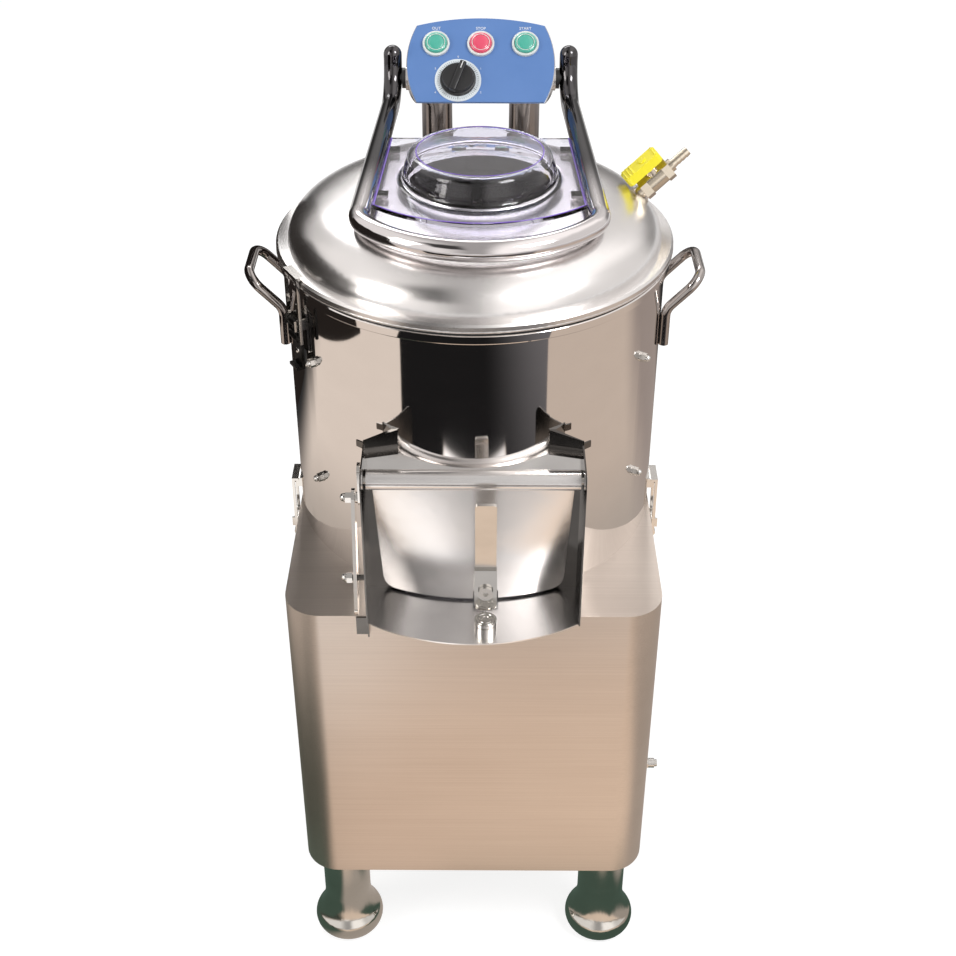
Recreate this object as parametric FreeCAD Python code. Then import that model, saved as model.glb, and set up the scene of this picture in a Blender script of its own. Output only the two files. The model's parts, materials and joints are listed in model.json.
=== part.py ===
import FreeCAD, Part
import math
import os

# Free-standing electric potato peeler: a cabinet on four legs carries a polished barrel with a turning
# abrasive disc, a domed lid with a lifting clear cover, a discharge chute with a hinged door, and a
# control box on two posts. Millimetres, +Z up. The pieces are drawn about the barrel's axis with the
# cabinet's top at zero, and go to their place as they are written out: the origin is on the floor,
# under the middle of the whole machine.

V = FreeCAD.Vector
os.makedirs("parts", exist_ok=True)

# Cabinet and legs
cabinet_width = 381.0
cabinet_front = 224.0
cabinet_rear = 270.0
cabinet_height = 371.0
cabinet_corner = 38.0
cabinet_sheet = 2.0
leg_height = 134.0
leg_radius = 26.5
leg_wall = 2.5
leg_inset = 42.0
leg_flange_radius = 38.0
leg_flange_thickness = 4.0
foot_radius = 39.5
foot_height = 56.0
sole_radius = 30.0
sole_thickness = 4.0
service_x = 28.0
service_width = 236.0
service_height = 230.0
service_drop = 90.0
service_lap = 12.0
screw_radius = 2.5
screw_head_radius = 4.6
screw_head_height = 2.6
hole_clearance = 0.2

# Barrel
barrel_y = -13.0
barrel_radius = 190.0
barrel_wall = 2.0
barrel_height = 300.0
bead_reach = 5.0
bead_height = 10.0
bead_edge = 1.5
floor_gap = 1.0
floor_thickness = 2.0
opening_half_width = 70.0
opening_bottom = 8.0
opening_top = 138.0
liner_thickness = 4.0
liner_bottom = 32.0
liner_top = 284.0
liner_start = 28.0
liner_end = 178.0
liner_nut_angles = (-125.0, -54.5, 59.0, 125.0)
liner_nut_heights = (90.0, 224.0)
liner_nut_across = 8.0
liner_washer_radius = 5.0
stud_radius = 3.0

# Drive
shaft_radius = 12.5
running_gap = 0.05
neck_radius = 45.0
neck_top = 15.0
bearing_radius = 31.0
bearing_width = 15.0
housing_flange_radius = 70.0
housing_flange_thickness = 8.0
housing_depth = 60.0
disc_radius = 178.0
disc_bottom = 17.0
disc_thickness = 8.0
disc_ridge_height = 8.0
disc_ridge_count = 3
spigot_radius = 8.0
spigot_length = 6.0
pulley_centre_z = -82.5
pulley_width = 25.0
large_groove_radius = 91.0
small_groove_radius = 23.0
groove_depth = 9.0
belt_width = 6.4
belt_depth = 5.7
belt_gap = 0.3
motor_y = 175.0
motor_radius = 75.0
motor_length = 200.0
motor_top = -110.0
motor_shaft_radius = 9.5
bracket_thickness = 5.0
bracket_half_width = 95.0
bracket_front = 97.0
bracket_rear = 88.0
hanger_radius = 5.0
hanger_inset = 9.0

# Drain, gland and terminal
drain_x = -125.0
drain_y = 60.0
drain_radius = 20.0
drain_wall = 1.5
drain_drop = 200.0
drain_bend = 45.0
drain_collar = 4.0
drain_reach = 24.0
gland_drop = 300.0
gland_bore = 5.0
stud_y = -140.0
stud_drop = 285.0

# Lid
lid_rim_radius = 197.0
lid_rim_bottom = 303.0
lid_rim_height = 8.0
lid_sheet = 1.5
dome_radius = 185.0
dome_shoulder = 65.0
dome_height = 40.0
feed_x = 5.0
feed_y = 17.0
feed_radius = 75.0
feed_collar = 16.0

# Handles
handle_rod = 5.0
handle_span = 72.0
handle_reach = 225.0
handle_foot = 204.0
handle_bend = 243.0
handle_top = 278.0
handle_corner = 18.0

# Tower and control box
tower_x = 5.0
post_y = 240.0
post_spacing = 97.0
post_radius = 17.0
post_wall = 2.0
post_flange_radius = 29.0
post_flange_thickness = 5.0
post_collar_radius = 19.5
post_collar_height = 8.0
panel_front = 205.0
panel_bottom = 368.0
panel_tilt = 42.0
panel_length = 101.0
panel_half_bottom = 69.5
panel_half_middle = 80.5
panel_half_top = 70.0
panel_shoulder = 92.0
panel_thickness = 2.0
box_back = 295.0
box_underside = 366.0
box_sheet = 2.0
box_lip = 1.0
button_spacing = 49.0
button_row = 69.0
button_radius = 12.0
button_height = 6.5
button_depth = 8.0
button_gap = 0.2
bezel_radius = 15.0
bezel_height = 4.0
bezel_wall = 0.9
bezel_depth = 16.0
button_stem = 4.0
timer_x = -24.7
timer_row = 25.5
dial_radius = 25.4
dial_thickness = 1.0
knob_radius = 19.5
knob_height = 13.0
knob_gap = 0.3
timer_shaft = 3.0

# Lifting cover
frame_rod = 10.0
frame_wall = 2.0
frame_rest_gap = 0.5
bow_radius = 132.0
bow_centre_y = -18.0
bow_half_angle = 52.0
bow_corner = 42.0
arm_end_half = 98.5
arm_end_y = 205.0
arm_bend = 40.0
arm_riser = 5.5
pivot_y = 240.0
pivot_radius = 6.0
sleeve_radius = 11.0
sleeve_gap = 0.3
cover_thickness = 4.0
cover_front = -92.0
cover_corner_y = -50.0
cover_back = 118.0
cover_side_gap = 0.3
dome_base = 76.0
dome_top_radius = 63.0
dome_rise = 27.0
dome_wall = 3.0
tab_places = (-20.0, 92.0)
tab_width = 12.0
tab_length = 12.0
tab_thickness = 2.5

# Chute and door
chute_half_width = 103.25
plate_thickness = 1.5
chute_front = 240.0
chute_heel = 180.0
chute_bottom = 1.5
chute_top = 177.0
chute_corner = 15.0
wing_half_width = 72.0
wing_rise = 12.0
lip_radius = 187.0
lip_front = 269.0
hinge_y = -200.0
hinge_z = 147.0
hinge_tube_radius = 9.5
hinge_pin_radius = 4.0
pin_head_radius = 6.0
pin_head_height = 3.0
hinge_tube_gap = 1.5
hood_slope = 30.0
hood_gap = 0.6
door_radius = 203.0
door_bottom = 6.0
door_half_top = 96.0
door_half_bottom = 90.0
door_thickness = 2.0
door_corner = 12.0
door_notch = 12.5
door_notch_height = 9.6
lever_x = 12.0
lever_z = 38.0
lever_standoff = 226.0
lever_thickness = 7.0
lever_half_width = 11.0
lever_top = 64.0
lever_bottom = 15.0
bar_top = 152.0
bar_tilt = 19.0
bar_thickness = 4.0
bar_half_width = 10.2
roller_y = -245.0
roller_radius = 11.0
roller_top = 14.0
crank_x = -107.0
crank_thickness = 3.0
crank_length = 20.0
crank_width = 14.0
stay_x = -113.0
stay_thickness = 3.5
stay_width = 18.0
stay_length = 124.0
stay_lean = 12.6
stay_slot_start = 80.0
stay_slot_end = 106.0
stay_slot_width = 12.0
stay_nut_gap = 1.5
lower_stud_reach = 84.7
lug_width = 13.0
lug_depth = 6.0
lug_bottom = -22.0

# Draw latches
latch_half_width = 12.0
latch_plate = 2.0
latch_pivot_reach = 9.0
latch_throw = 15.0
latch_eye = 4.0
latch_pin = 2.0
latch_ear = 2.0
latch_ear_gap = 0.5
latch_lever_length = 46.0
latch_lever_thickness = 3.0
bail_thickness = 3.0
hook_gap = 0.3
lid_latch_angles = (-60.0, 120.0)
lid_latch_z = 262.0
base_latch_z = -40.0
keeper_bottom = 7.0
keeper_top = 18.0
keeper_reach = 11.0

# Water valve
valve_angle = 104.0
valve_reach = 172.0
valve_rise = 40.0
valve_thread = 7.0
valve_hex = 11.0
valve_body_radius = 10.5
valve_length = 38.0
valve_bore = 4.0
valve_stem_along = 21.0
valve_stem = 4.0
barb_radius = 5.0
barb_length = 24.0
barb_ridge = 0.7
tap_inward = 25.0
tap_outward = 17.0
tap_half_width = 9.5
tap_low = 16.0
tap_high = 26.0

# Values that follow from the dimensions above
cabinet_top = leg_height + cabinet_height
home = V(0, barrel_y, cabinet_top)
half_cabinet = cabinet_width / 2
lid_top = lid_rim_bottom + lid_rim_height + dome_height
frame_z = lid_top + frame_rest_gap + frame_rod
cover_z = frame_z - cover_thickness
pivot_z = frame_z + arm_bend - math.sqrt(arm_bend ** 2 - (pivot_y - arm_end_y) ** 2)
barrel_inside = barrel_radius - barrel_wall
floor_top = floor_gap + floor_thickness
sole_top = -cabinet_height - leg_height + sole_thickness


def save(name, *solids):
    shape = solids[0] if len(solids) == 1 else Part.makeCompound(list(solids))
    shape = shape.copy()
    shape.translate(home)
    if not shape.isValid():
        print("not valid:", name)
    shape.exportStep("parts/" + name + ".step")
    print(name, len(shape.Solids), round(shape.Volume / 1000.0, 2), "cm3")


def upright(radius, z0, z1, x=0.0, y=0.0):
    return Part.makeCylinder(radius, z1 - z0, V(x, y, z0))


def ring(outer, inner, z0, z1, x=0.0, y=0.0):
    return upright(outer, z0, z1, x, y).cut(upright(inner, z0 - 1, z1 + 1, x, y))


def block(x0, x1, y0, y1, z0, z1):
    return Part.makeBox(x1 - x0, y1 - y0, z1 - z0, V(x0, y0, z0))


def rounded_block(x0, x1, y0, y1, z0, z1, radius):
    solid = block(x0, x1, y0, y1, z0, z1)
    upright_edges = [e for e in solid.Edges if abs(e.tangentAt(e.FirstParameter).z) > 0.9]
    return solid.makeFillet(radius, upright_edges)


def window(half_width, centre_x, z0, z1, y0, y1, radius):
    solid = block(centre_x - half_width, centre_x + half_width, y0, y1, z0, z1)
    deep_edges = [e for e in solid.Edges if abs(e.tangentAt(e.FirstParameter).y) > 0.9]
    return solid.makeFillet(radius, deep_edges)


def line(a, b):
    return Part.makeLine(a, b)


def arc(a, b, c):
    return Part.Arc(a, b, c).toShape()


def closed_face(edges):
    return Part.Face(Part.Wire(edges))


def outline(points):
    return Part.Face(Part.makePolygon(points + [points[0]]))


def turned(points, x=0.0, y=0.0):
    face = outline([V(r, 0, z) for r, z in points])
    solid = face.revolve(V(0, 0, 0), V(0, 0, 1), 360)
    solid.translate(V(x, y, 0))
    return solid


def turned_edges(edges, x=0.0, y=0.0):
    solid = closed_face(edges).revolve(V(0, 0, 0), V(0, 0, 1), 360)
    solid.translate(V(x, y, 0))
    return solid


def sector(outer, inner, z0, z1, start, end):
    face = outline([V(inner, 0, z0), V(outer, 0, z0), V(outer, 0, z1), V(inner, 0, z1)])
    solid = face.revolve(V(0, 0, 0), V(0, 0, 1), end - start)
    solid.rotate(V(0, 0, 0), V(0, 0, 1), start - 90)
    return solid


def outward(angle):
    turn = math.radians(angle)
    return V(math.sin(turn), -math.cos(turn), 0)


def rod(base, direction, radius, start, end):
    away = V(direction).normalize()
    return Part.makeCylinder(radius, end - start, base + away * start, away)


def hexagon(base, direction, across, start, end):
    away = V(direction).normalize()
    corners = [V(across / math.sqrt(3) * math.cos(math.radians(60 * i)),
                 across / math.sqrt(3) * math.sin(math.radians(60 * i)), 0) for i in range(6)]
    solid = outline(corners).extrude(V(0, 0, end - start))
    solid.Placement = FreeCAD.Placement(base + away * start, FreeCAD.Rotation(V(0, 0, 1), away))
    return solid


def acorn(base, direction, across, start):
    nut_height = across * 0.55
    crown = across * 0.42
    nut = hexagon(base, direction, across, start, start + nut_height)
    cap = rod(base, direction, crown, start + nut_height - 0.5, start + nut_height + crown * 0.3)
    away = V(direction).normalize()
    top = Part.makeSphere(crown, base + away * (start + nut_height + crown * 0.3))
    return nut.fuse([cap, top]).removeSplitter()


def rounded_path(points, radius):
    edges = []
    last = points[0]
    for before, corner, after in zip(points, points[1:], points[2:]):
        back = (before - corner).normalize()
        ahead = (after - corner).normalize()
        half = back.getAngle(ahead) / 2
        trim = radius / math.tan(half)
        start = corner + back * trim
        end = corner + ahead * trim
        middle = (back + ahead).normalize()
        centre = corner + middle * (radius / math.sin(half))
        edges.append(line(last, start))
        edges.append(arc(start, centre - middle * radius, end))
        last = end
    edges.append(line(last, points[-1]))
    return Part.Wire(edges)


def swept(path, radius):
    first = path.OrderedEdges[0]
    start = first.valueAt(first.FirstParameter)
    heading = first.tangentAt(first.FirstParameter)
    if (start - path.OrderedVertexes[0].Point).Length > 1e-6:
        start = first.valueAt(first.LastParameter)
        heading = first.tangentAt(first.LastParameter) * -1
    profile = Part.Wire(Part.makeCircle(radius, start, heading))
    return path.makePipeShell([profile], True, False)


def place(shape, origin, along_x, along_y):
    moved = shape.copy()
    turn = FreeCAD.Rotation(along_x, along_y, along_x.cross(along_y), "ZXY")
    moved.Placement = FreeCAD.Placement(origin, turn).multiply(moved.Placement)
    return moved


# Cabinet
def service_edges(grow):
    half = service_width / 2 + grow
    return half, -service_drop - service_height - grow, -service_drop + grow


def post_centres():
    return [V(tower_x + side * post_spacing / 2, post_y, 0) for side in (-1, 1)]


def post_screws():
    pitch = (post_radius + post_flange_radius) / 2
    return [centre + outward(turn) * pitch for centre in post_centres() for turn in (0, 120, 240)]


def service_screws():
    half, low, high = service_edges(-service_lap / 2)
    middle = (low + high) / 2
    return [V(service_x + side * half, cabinet_rear, z) for side in (-1, 1) for z in (low, middle, high)]


def base_cabinet():
    front, rear = -cabinet_front, cabinet_rear
    shell = rounded_block(-half_cabinet, half_cabinet, front, rear, -cabinet_height, 0, cabinet_corner)
    hollow = rounded_block(-half_cabinet + cabinet_sheet, half_cabinet - cabinet_sheet,
                           front + cabinet_sheet, rear - cabinet_sheet,
                           -cabinet_height - 1, -cabinet_sheet, cabinet_corner - cabinet_sheet)
    shell = shell.cut(hollow)
    half, low, high = service_edges(-service_lap)
    cuts = [window(half, service_x, low, high, rear - 10, rear + 10, service_lap)]
    cuts.append(upright(neck_radius + hole_clearance, -10, 10))
    cuts.append(upright(drain_radius + hole_clearance, -10, 10, drain_x, drain_y))
    cuts.append(rod(V(drain_x, rear, -drain_drop), V(0, 1, 0), drain_radius + hole_clearance, -10, 10))
    cuts.append(rod(V(drain_x, rear, -gland_drop), V(0, 1, 0), gland_bore * 2, -10, 10))
    cuts.append(rod(V(half_cabinet, stud_y, -stud_drop), V(1, 0, 0), stud_radius + 1 + hole_clearance, -10, 10))
    for centre in post_screws():
        cuts.append(upright(screw_radius + hole_clearance, -10, 10, centre.x, centre.y))
    for centre in service_screws():
        cuts.append(rod(centre, V(0, 1, 0), screw_radius + hole_clearance, -10, 10))
    return shell.cut(cuts)


def base_plate():
    inset = cabinet_sheet
    plate = rounded_block(-half_cabinet + inset, half_cabinet - inset, -cabinet_front + inset,
                          cabinet_rear - inset, -cabinet_height, -cabinet_height + cabinet_sheet,
                          cabinet_corner - inset)
    slots = []
    for row in range(-3, 4):
        slots.append(rounded_block(-60, 60, row * 16 - 4 + motor_y / 2, row * 16 + 4 + motor_y / 2,
                                   -cabinet_height - 5, -cabinet_height + 10, 3.9))
    return plate.cut(slots)


def rear_cover():
    half, low, high = service_edges(0)
    cover = window(half, service_x, low, high, cabinet_rear, cabinet_rear + cabinet_sheet, service_lap)
    cuts = []
    for row in range(7):
        z = low + 60 + row * 16
        cuts.append(window(70, service_x, z - 3, z + 3, cabinet_rear - 5, cabinet_rear + 9, 2.9))
    for centre in service_screws():
        cuts.append(rod(centre, V(0, 1, 0), screw_radius + hole_clearance, -10, 10))
    return cover.cut(cuts)


def pan_screw(base, direction, length):
    head = rod(base, direction, screw_head_radius, 0, screw_head_height)
    socket = hexagon(base, direction, 3.0, screw_head_height - 1.6, screw_head_height + 1)
    return head.fuse(rod(base, direction, screw_radius, -length, 0)).cut(socket)


def cabinet_screws():
    screws = [pan_screw(c + V(0, 0, post_flange_thickness), V(0, 0, 1), 11) for c in post_screws()]
    screws += [pan_screw(c + V(0, cabinet_sheet, 0), V(0, 1, 0), 9) for c in service_screws()]
    return screws


def leg(x, y):
    top = -cabinet_height
    shoulder = sole_top + foot_height
    inner = leg_radius - leg_wall
    neck = leg_radius + (foot_radius - leg_radius) * 0.35
    belly = sole_top + foot_height * 0.28
    edges = [
        line(V(inner, 0, top), V(leg_flange_radius, 0, top)),
        line(V(leg_flange_radius, 0, top), V(leg_flange_radius, 0, top - leg_flange_thickness)),
        line(V(leg_flange_radius, 0, top - leg_flange_thickness), V(leg_radius, 0, top - leg_flange_thickness)),
        line(V(leg_radius, 0, top - leg_flange_thickness), V(leg_radius, 0, shoulder)),
        arc(V(leg_radius, 0, shoulder), V(neck - 1.5, 0, sole_top + foot_height * 0.68),
            V(neck + 3.5, 0, sole_top + foot_height * 0.47)),
        arc(V(neck + 3.5, 0, sole_top + foot_height * 0.47), V(foot_radius, 0, belly),
            V(foot_radius - 5, 0, sole_top)),
        line(V(foot_radius - 5, 0, sole_top), V(0, 0, sole_top)),
        line(V(0, 0, sole_top), V(0, 0, shoulder)),
        line(V(0, 0, shoulder), V(inner, 0, shoulder)),
        line(V(inner, 0, shoulder), V(inner, 0, top)),
    ]
    return turned_edges(edges, x, y)


def leg_places():
    x = half_cabinet - leg_inset
    return [(x, -cabinet_front + leg_inset), (x, cabinet_rear - leg_inset)]


def foot_soles():
    soles = []
    for x, y in leg_places():
        for side in (-1, 1):
            soles.append(upright(sole_radius, sole_top - sole_thickness, sole_top, side * x, y))
    return soles


# Barrel
def liner_nut_places():
    return [(outward(a), z) for a in liner_nut_angles for z in liner_nut_heights]


def liner_holes():
    return [rod(V(0, 0, z), way, stud_radius + hole_clearance, barrel_radius - 20, barrel_radius + 20)
            for way, z in liner_nut_places()]


def barrel():
    bead = barrel_radius + bead_reach
    bead_bottom = barrel_height - bead_height
    shell = turned([(barrel_inside, 0), (barrel_radius, 0), (barrel_radius, bead_bottom),
                    (bead - bead_edge, bead_bottom), (bead, bead_bottom + bead_edge),
                    (bead, barrel_height - bead_edge), (bead - bead_edge, barrel_height),
                    (barrel_inside, barrel_height)])
    opening = window(opening_half_width, 0, opening_bottom, opening_top,
                     -barrel_radius - 20, -barrel_radius + 60, 10)
    return shell.cut([opening] + liner_holes())


def barrel_floor():
    plate = ring(barrel_inside, neck_radius + hole_clearance, floor_gap, floor_top)
    collar = ring(neck_radius + 3, neck_radius + hole_clearance, floor_gap, neck_top - 3)
    drain = upright(drain_radius + hole_clearance, -10, 20, drain_x, drain_y)
    return plate.fuse(collar).removeSplitter().cut(drain)


def drain_pipe():
    corner = V(drain_x, drain_y, -drain_drop)
    end = V(drain_x, cabinet_rear + drain_reach, -drain_drop)
    path = rounded_path([V(drain_x, drain_y, floor_top), corner, end], drain_bend)
    collar = rod(V(drain_x, cabinet_rear, -drain_drop), V(0, 1, 0), drain_radius + drain_collar, 0, drain_collar)
    return swept(path, drain_radius).fuse(collar).cut(swept(path, drain_radius - drain_wall)).removeSplitter()


def abrasive_liners():
    outer = barrel_inside
    inner = outer - liner_thickness
    left = sector(outer, inner, liner_bottom, liner_top, -liner_end, -liner_start)
    right = sector(outer, inner, liner_bottom, liner_top, liner_start, liner_end)
    return [left.cut(liner_holes()), right.cut(liner_holes())]


def acorn_nuts():
    nuts = []
    start = barrel_inside - liner_thickness
    for way, z in liner_nut_places():
        base = V(0, 0, z)
        stud = rod(base, way, stud_radius, start, barrel_radius + 3)
        washer = rod(base, way, liner_washer_radius, barrel_radius, barrel_radius + 1.2)
        nuts.append(acorn(base, way, liner_nut_across, barrel_radius + 1.2).fuse([stud, washer]))
    nuts.append(acorn(lower_stud_place() + V(stay_x - stay_thickness - stay_nut_gap, 0, 0), V(-1, 0, 0), 10, 0))
    return nuts


# Drive
def bearing_housing():
    flange_low = -cabinet_sheet - housing_flange_thickness
    lip = shaft_radius + 1.5
    pocket = bearing_radius - 9
    return turned([
        (lip, flange_low), (bearing_radius, flange_low), (bearing_radius, -housing_depth),
        (bearing_radius + 8, -housing_depth), (bearing_radius + 8, flange_low),
        (housing_flange_radius, flange_low), (housing_flange_radius, -cabinet_sheet),
        (neck_radius, -cabinet_sheet), (neck_radius, neck_top), (pocket, neck_top),
        (pocket, neck_top - 7), (lip, neck_top - 7)])


def bearings():
    high = -cabinet_sheet - housing_flange_thickness
    bore = shaft_radius + running_gap
    return [ring(bearing_radius, bore, high - bearing_width, high),
            ring(bearing_radius, bore, -housing_depth, -housing_depth + bearing_width)]


def drive_shaft():
    low = pulley_centre_z - pulley_width / 2 - 6
    return upright(shaft_radius, low, disc_bottom).fuse(
        upright(spigot_radius, disc_bottom, disc_bottom + spigot_length)).removeSplitter()


def abrasive_disc():
    top = disc_bottom + disc_thickness
    disc = upright(disc_radius, disc_bottom, top)
    ridges = []
    for i in range(disc_ridge_count):
        way = outward(360 / disc_ridge_count * i + 30)
        ridge = Part.makeCone(disc_ridge_height, disc_ridge_height * 2, disc_radius - 40, V(0, 0, 0), V(0, 0, 1))
        ridge = place(ridge, way * 32 + V(0, 0, top - disc_ridge_height), V(0, 0, 1).cross(way), V(0, 0, 1))
        ridge = ridge.common(upright(disc_radius - 4, top - 1, top + disc_ridge_height))
        ridges.append(ridge)
    cap = Part.makeSphere(30, V(0, 0, top - 18)).common(upright(40, top - 1, top + 20))
    bore = upright(spigot_radius, disc_bottom - 1, disc_bottom + spigot_length)
    return disc.fuse(ridges + [cap]).cut(bore).removeSplitter()


def pulley_profile(bore, groove):
    low = pulley_centre_z - pulley_width / 2
    high = pulley_centre_z + pulley_width / 2
    rim = groove + groove_depth
    neck = belt_width / 2 + belt_gap
    flare = neck + groove_depth * 0.65
    return [(bore, low - 3), (bore + 10, low - 3), (bore + 10, low), (rim, low),
            (rim, pulley_centre_z - flare), (groove, pulley_centre_z - neck),
            (groove, pulley_centre_z + neck), (rim, pulley_centre_z + flare),
            (rim, high), (bore + 10, high), (bore + 10, high + 3), (bore, high + 3)]


def large_pulley():
    body = turned(pulley_profile(shaft_radius, large_groove_radius))
    recess = ring(large_groove_radius - 8, shaft_radius + 14, 0, pulley_width / 2 - 4)
    upper = recess.translated(V(0, 0, pulley_centre_z + 4))
    lower = recess.translated(V(0, 0, pulley_centre_z - pulley_width / 2))
    return body.cut([upper, lower])


def motor_rotor():
    pulley = turned(pulley_profile(0, small_groove_radius), 0, motor_y)
    low = motor_top - motor_length / 2
    return pulley.fuse(upright(motor_shaft_radius, low, pulley_centre_z, 0, motor_y)).removeSplitter()


def belt_loop(grow, z0, z1):
    large = large_groove_radius + grow
    small = small_groove_radius + grow
    lean = math.asin((large - small) / motor_y)
    ax, ay = large * math.cos(lean), large * math.sin(lean)
    bx, by = small * math.cos(lean), motor_y + small * math.sin(lean)
    edges = [
        line(V(ax, ay, z0), V(bx, by, z0)),
        arc(V(bx, by, z0), V(0, motor_y + small, z0), V(-bx, by, z0)),
        line(V(-bx, by, z0), V(-ax, ay, z0)),
        arc(V(-ax, ay, z0), V(0, -large, z0), V(ax, ay, z0)),
    ]
    return closed_face(edges).extrude(V(0, 0, z1 - z0))


def drive_belt():
    low = pulley_centre_z - belt_width / 2
    high = pulley_centre_z + belt_width / 2
    return belt_loop(belt_gap + belt_depth, low, high).cut(belt_loop(belt_gap, low - 1, high + 1))


def motor_body():
    low = motor_top - motor_length
    body = upright(motor_radius - 6, low, motor_top, 0, motor_y)
    fins = []
    for i in range(12):
        angle = math.radians(30 * i + 15)
        fin = block(-2, 2, 0, motor_radius, low + 30, motor_top - 20)
        fin.rotate(V(0, 0, 0), V(0, 0, 1), math.degrees(angle))
        fin.translate(V(0, motor_y, 0))
        fins.append(fin)
    terminal_box = block(motor_radius - 12, motor_radius + 26, motor_y - 32, motor_y + 32,
                         low + 70, motor_top - 50)
    bore = upright(motor_shaft_radius + running_gap, motor_top - motor_length / 2 - 5, motor_top + 1, 0, motor_y)
    return body.fuse(fins + [terminal_box]).removeSplitter().cut(bore)


def motor_bracket():
    half = bracket_half_width
    plate = block(-half, half, motor_y - bracket_front, motor_y + bracket_rear,
                  motor_top, motor_top + bracket_thickness)
    plate = plate.cut(upright(motor_shaft_radius + 14, motor_top - 1, motor_top + 20, 0, motor_y))
    hangers = [upright(hanger_radius, motor_top + 1, -cabinet_sheet, x, y)
               for x in (hanger_inset - half, half - hanger_inset)
               for y in (motor_y - bracket_front + hanger_inset, motor_y + bracket_rear - hanger_inset)]
    return plate.fuse(hangers).removeSplitter()


def cable_gland():
    base = V(drain_x, cabinet_rear, -gland_drop)
    way = V(0, 1, 0)
    outer = gland_bore * 2 - hole_clearance
    solid = rod(base, way, outer, -8, 1).fuse([
        hexagon(base, way, 24, 0, 6), rod(base, way, 11, 5, 14),
        hexagon(base, way, 22, 13, 19)]).removeSplitter()
    return solid.cut(rod(base, way, gland_bore, -20, 40))


def terminal_stud():
    base = V(half_cabinet, stud_y, -stud_drop)
    way = V(1, 0, 0)
    return rod(base, way, stud_radius + 1, -8, 18).fuse([
        rod(base, way, 8, 0, 1.6), hexagon(base, way, 10.5, 1.5, 8), rod(base, way, 5.5, 8, 15)]).removeSplitter()


# Lid
def dome_arc(inset, base_z):
    centre = V(dome_radius - dome_shoulder, 0, base_z)
    side = centre + V(dome_shoulder - inset, 0, 0)
    crown = centre + V(0, 0, dome_height)
    quarter = Part.ArcOfEllipse(Part.Ellipse(side, crown, centre), 0, math.pi / 2)
    return quarter.toShape(), side, crown


def valve_point():
    flat = outward(valve_angle) * valve_reach
    share = (valve_reach - dome_radius + dome_shoulder) / dome_shoulder
    base = lid_rim_bottom + lid_rim_height
    return flat + V(0, 0, base + dome_height * math.sqrt(1 - share ** 2))


def valve_way():
    rise = math.radians(valve_rise)
    return outward(valve_angle) * math.cos(rise) + V(0, 0, math.sin(rise))


def lid():
    flange_top = lid_rim_bottom + lid_rim_height
    flange_low = flange_top - lid_sheet
    outer_arc, outer_side, outer_crown = dome_arc(0, flange_top)
    inner_arc, inner_side, inner_crown = dome_arc(lid_sheet, flange_low)
    rim = lid_rim_radius
    points = [V(rim - 2, 0, flange_top), V(rim, 0, flange_top - 2), V(rim, 0, lid_rim_bottom),
              V(rim - lid_sheet, 0, lid_rim_bottom), V(rim - lid_sheet, 0, flange_low), inner_side]
    edges = [line(V(0, 0, outer_crown.z), outer_crown), outer_arc, line(outer_side, points[0])]
    edges += [line(a, b) for a, b in zip(points, points[1:])]
    edges += [inner_arc, line(inner_crown, V(0, 0, inner_crown.z)),
              line(V(0, 0, inner_crown.z), V(0, 0, outer_crown.z))]
    shell = Part.Face(Part.Wire(Part.__sortEdges__(edges))).revolve(V(0, 0, 0), V(0, 0, 1), 360)
    collar = upright(feed_radius + lid_sheet, lid_top - feed_collar, lid_top - 0.5, feed_x, feed_y)
    feed = upright(feed_radius, lid_top - 40, lid_top + 40, feed_x, feed_y)
    water = rod(valve_point(), valve_way(), valve_thread + hole_clearance, -20, 20)
    return shell.fuse(collar).cut([feed, water]).removeSplitter()


def lid_gasket():
    outer = barrel_radius + bead_reach - 0.5
    return ring(outer, barrel_inside - 2, barrel_height, lid_rim_bottom + lid_rim_height - lid_sheet)


def handle(side):
    wall = math.sqrt((barrel_radius + handle_rod) ** 2 - (handle_span / 2) ** 2)
    half = handle_span / 2
    stops = [(wall, -half, handle_foot), (wall, -half, handle_bend), (handle_reach, -half, handle_top),
             (handle_reach, half, handle_top), (wall, half, handle_bend), (wall, half, handle_foot)]
    return swept(rounded_path([V(side * x, y, z) for x, y, z in stops], handle_corner), handle_rod)


# Tower
def panel_origin():
    return V(tower_x, panel_front, panel_bottom)


def panel_up():
    tilt = math.radians(panel_tilt)
    return V(0, math.cos(tilt), math.sin(tilt))


def panel_out():
    return V(1, 0, 0).cross(panel_up())


def on_panel(x, along, out=0.0):
    return panel_origin() + V(x, 0, 0) + panel_up() * along + panel_out() * out


def shield(grow, out, depth):
    b, m, t = panel_half_bottom + grow, panel_half_middle + grow, panel_half_top + grow
    middle = panel_length * 0.52
    shoulder = panel_shoulder + grow * 0.7
    edges = [
        line(V(-b, -grow, 0), V(b, -grow, 0)),
        arc(V(b, -grow, 0), V(m, middle, 0), V(t, shoulder, 0)),
        arc(V(t, shoulder, 0), V(0, panel_length + grow, 0), V(-t, shoulder, 0)),
        arc(V(-t, shoulder, 0), V(-m, middle, 0), V(-b, -grow, 0)),
    ]
    solid = closed_face(edges).extrude(V(0, 0, -depth))
    return place(solid, on_panel(0, 0, out), V(1, 0, 0), panel_up())


def button_places():
    return [on_panel(i * button_spacing, button_row) for i in (-1, 0, 1)]


def timer_place():
    return on_panel(timer_x, timer_row)


def arm_half_at_pivot():
    drift = arm_drift()
    return arm_end_half + drift.x * math.sqrt(arm_bend ** 2 - (arm_bend - pivot_z + frame_z) ** 2)


def boss_face():
    return panel_half_middle + box_lip + 0.6


def pivot_point(side, reach):
    return V(tower_x + side * reach, pivot_y, pivot_z)


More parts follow.
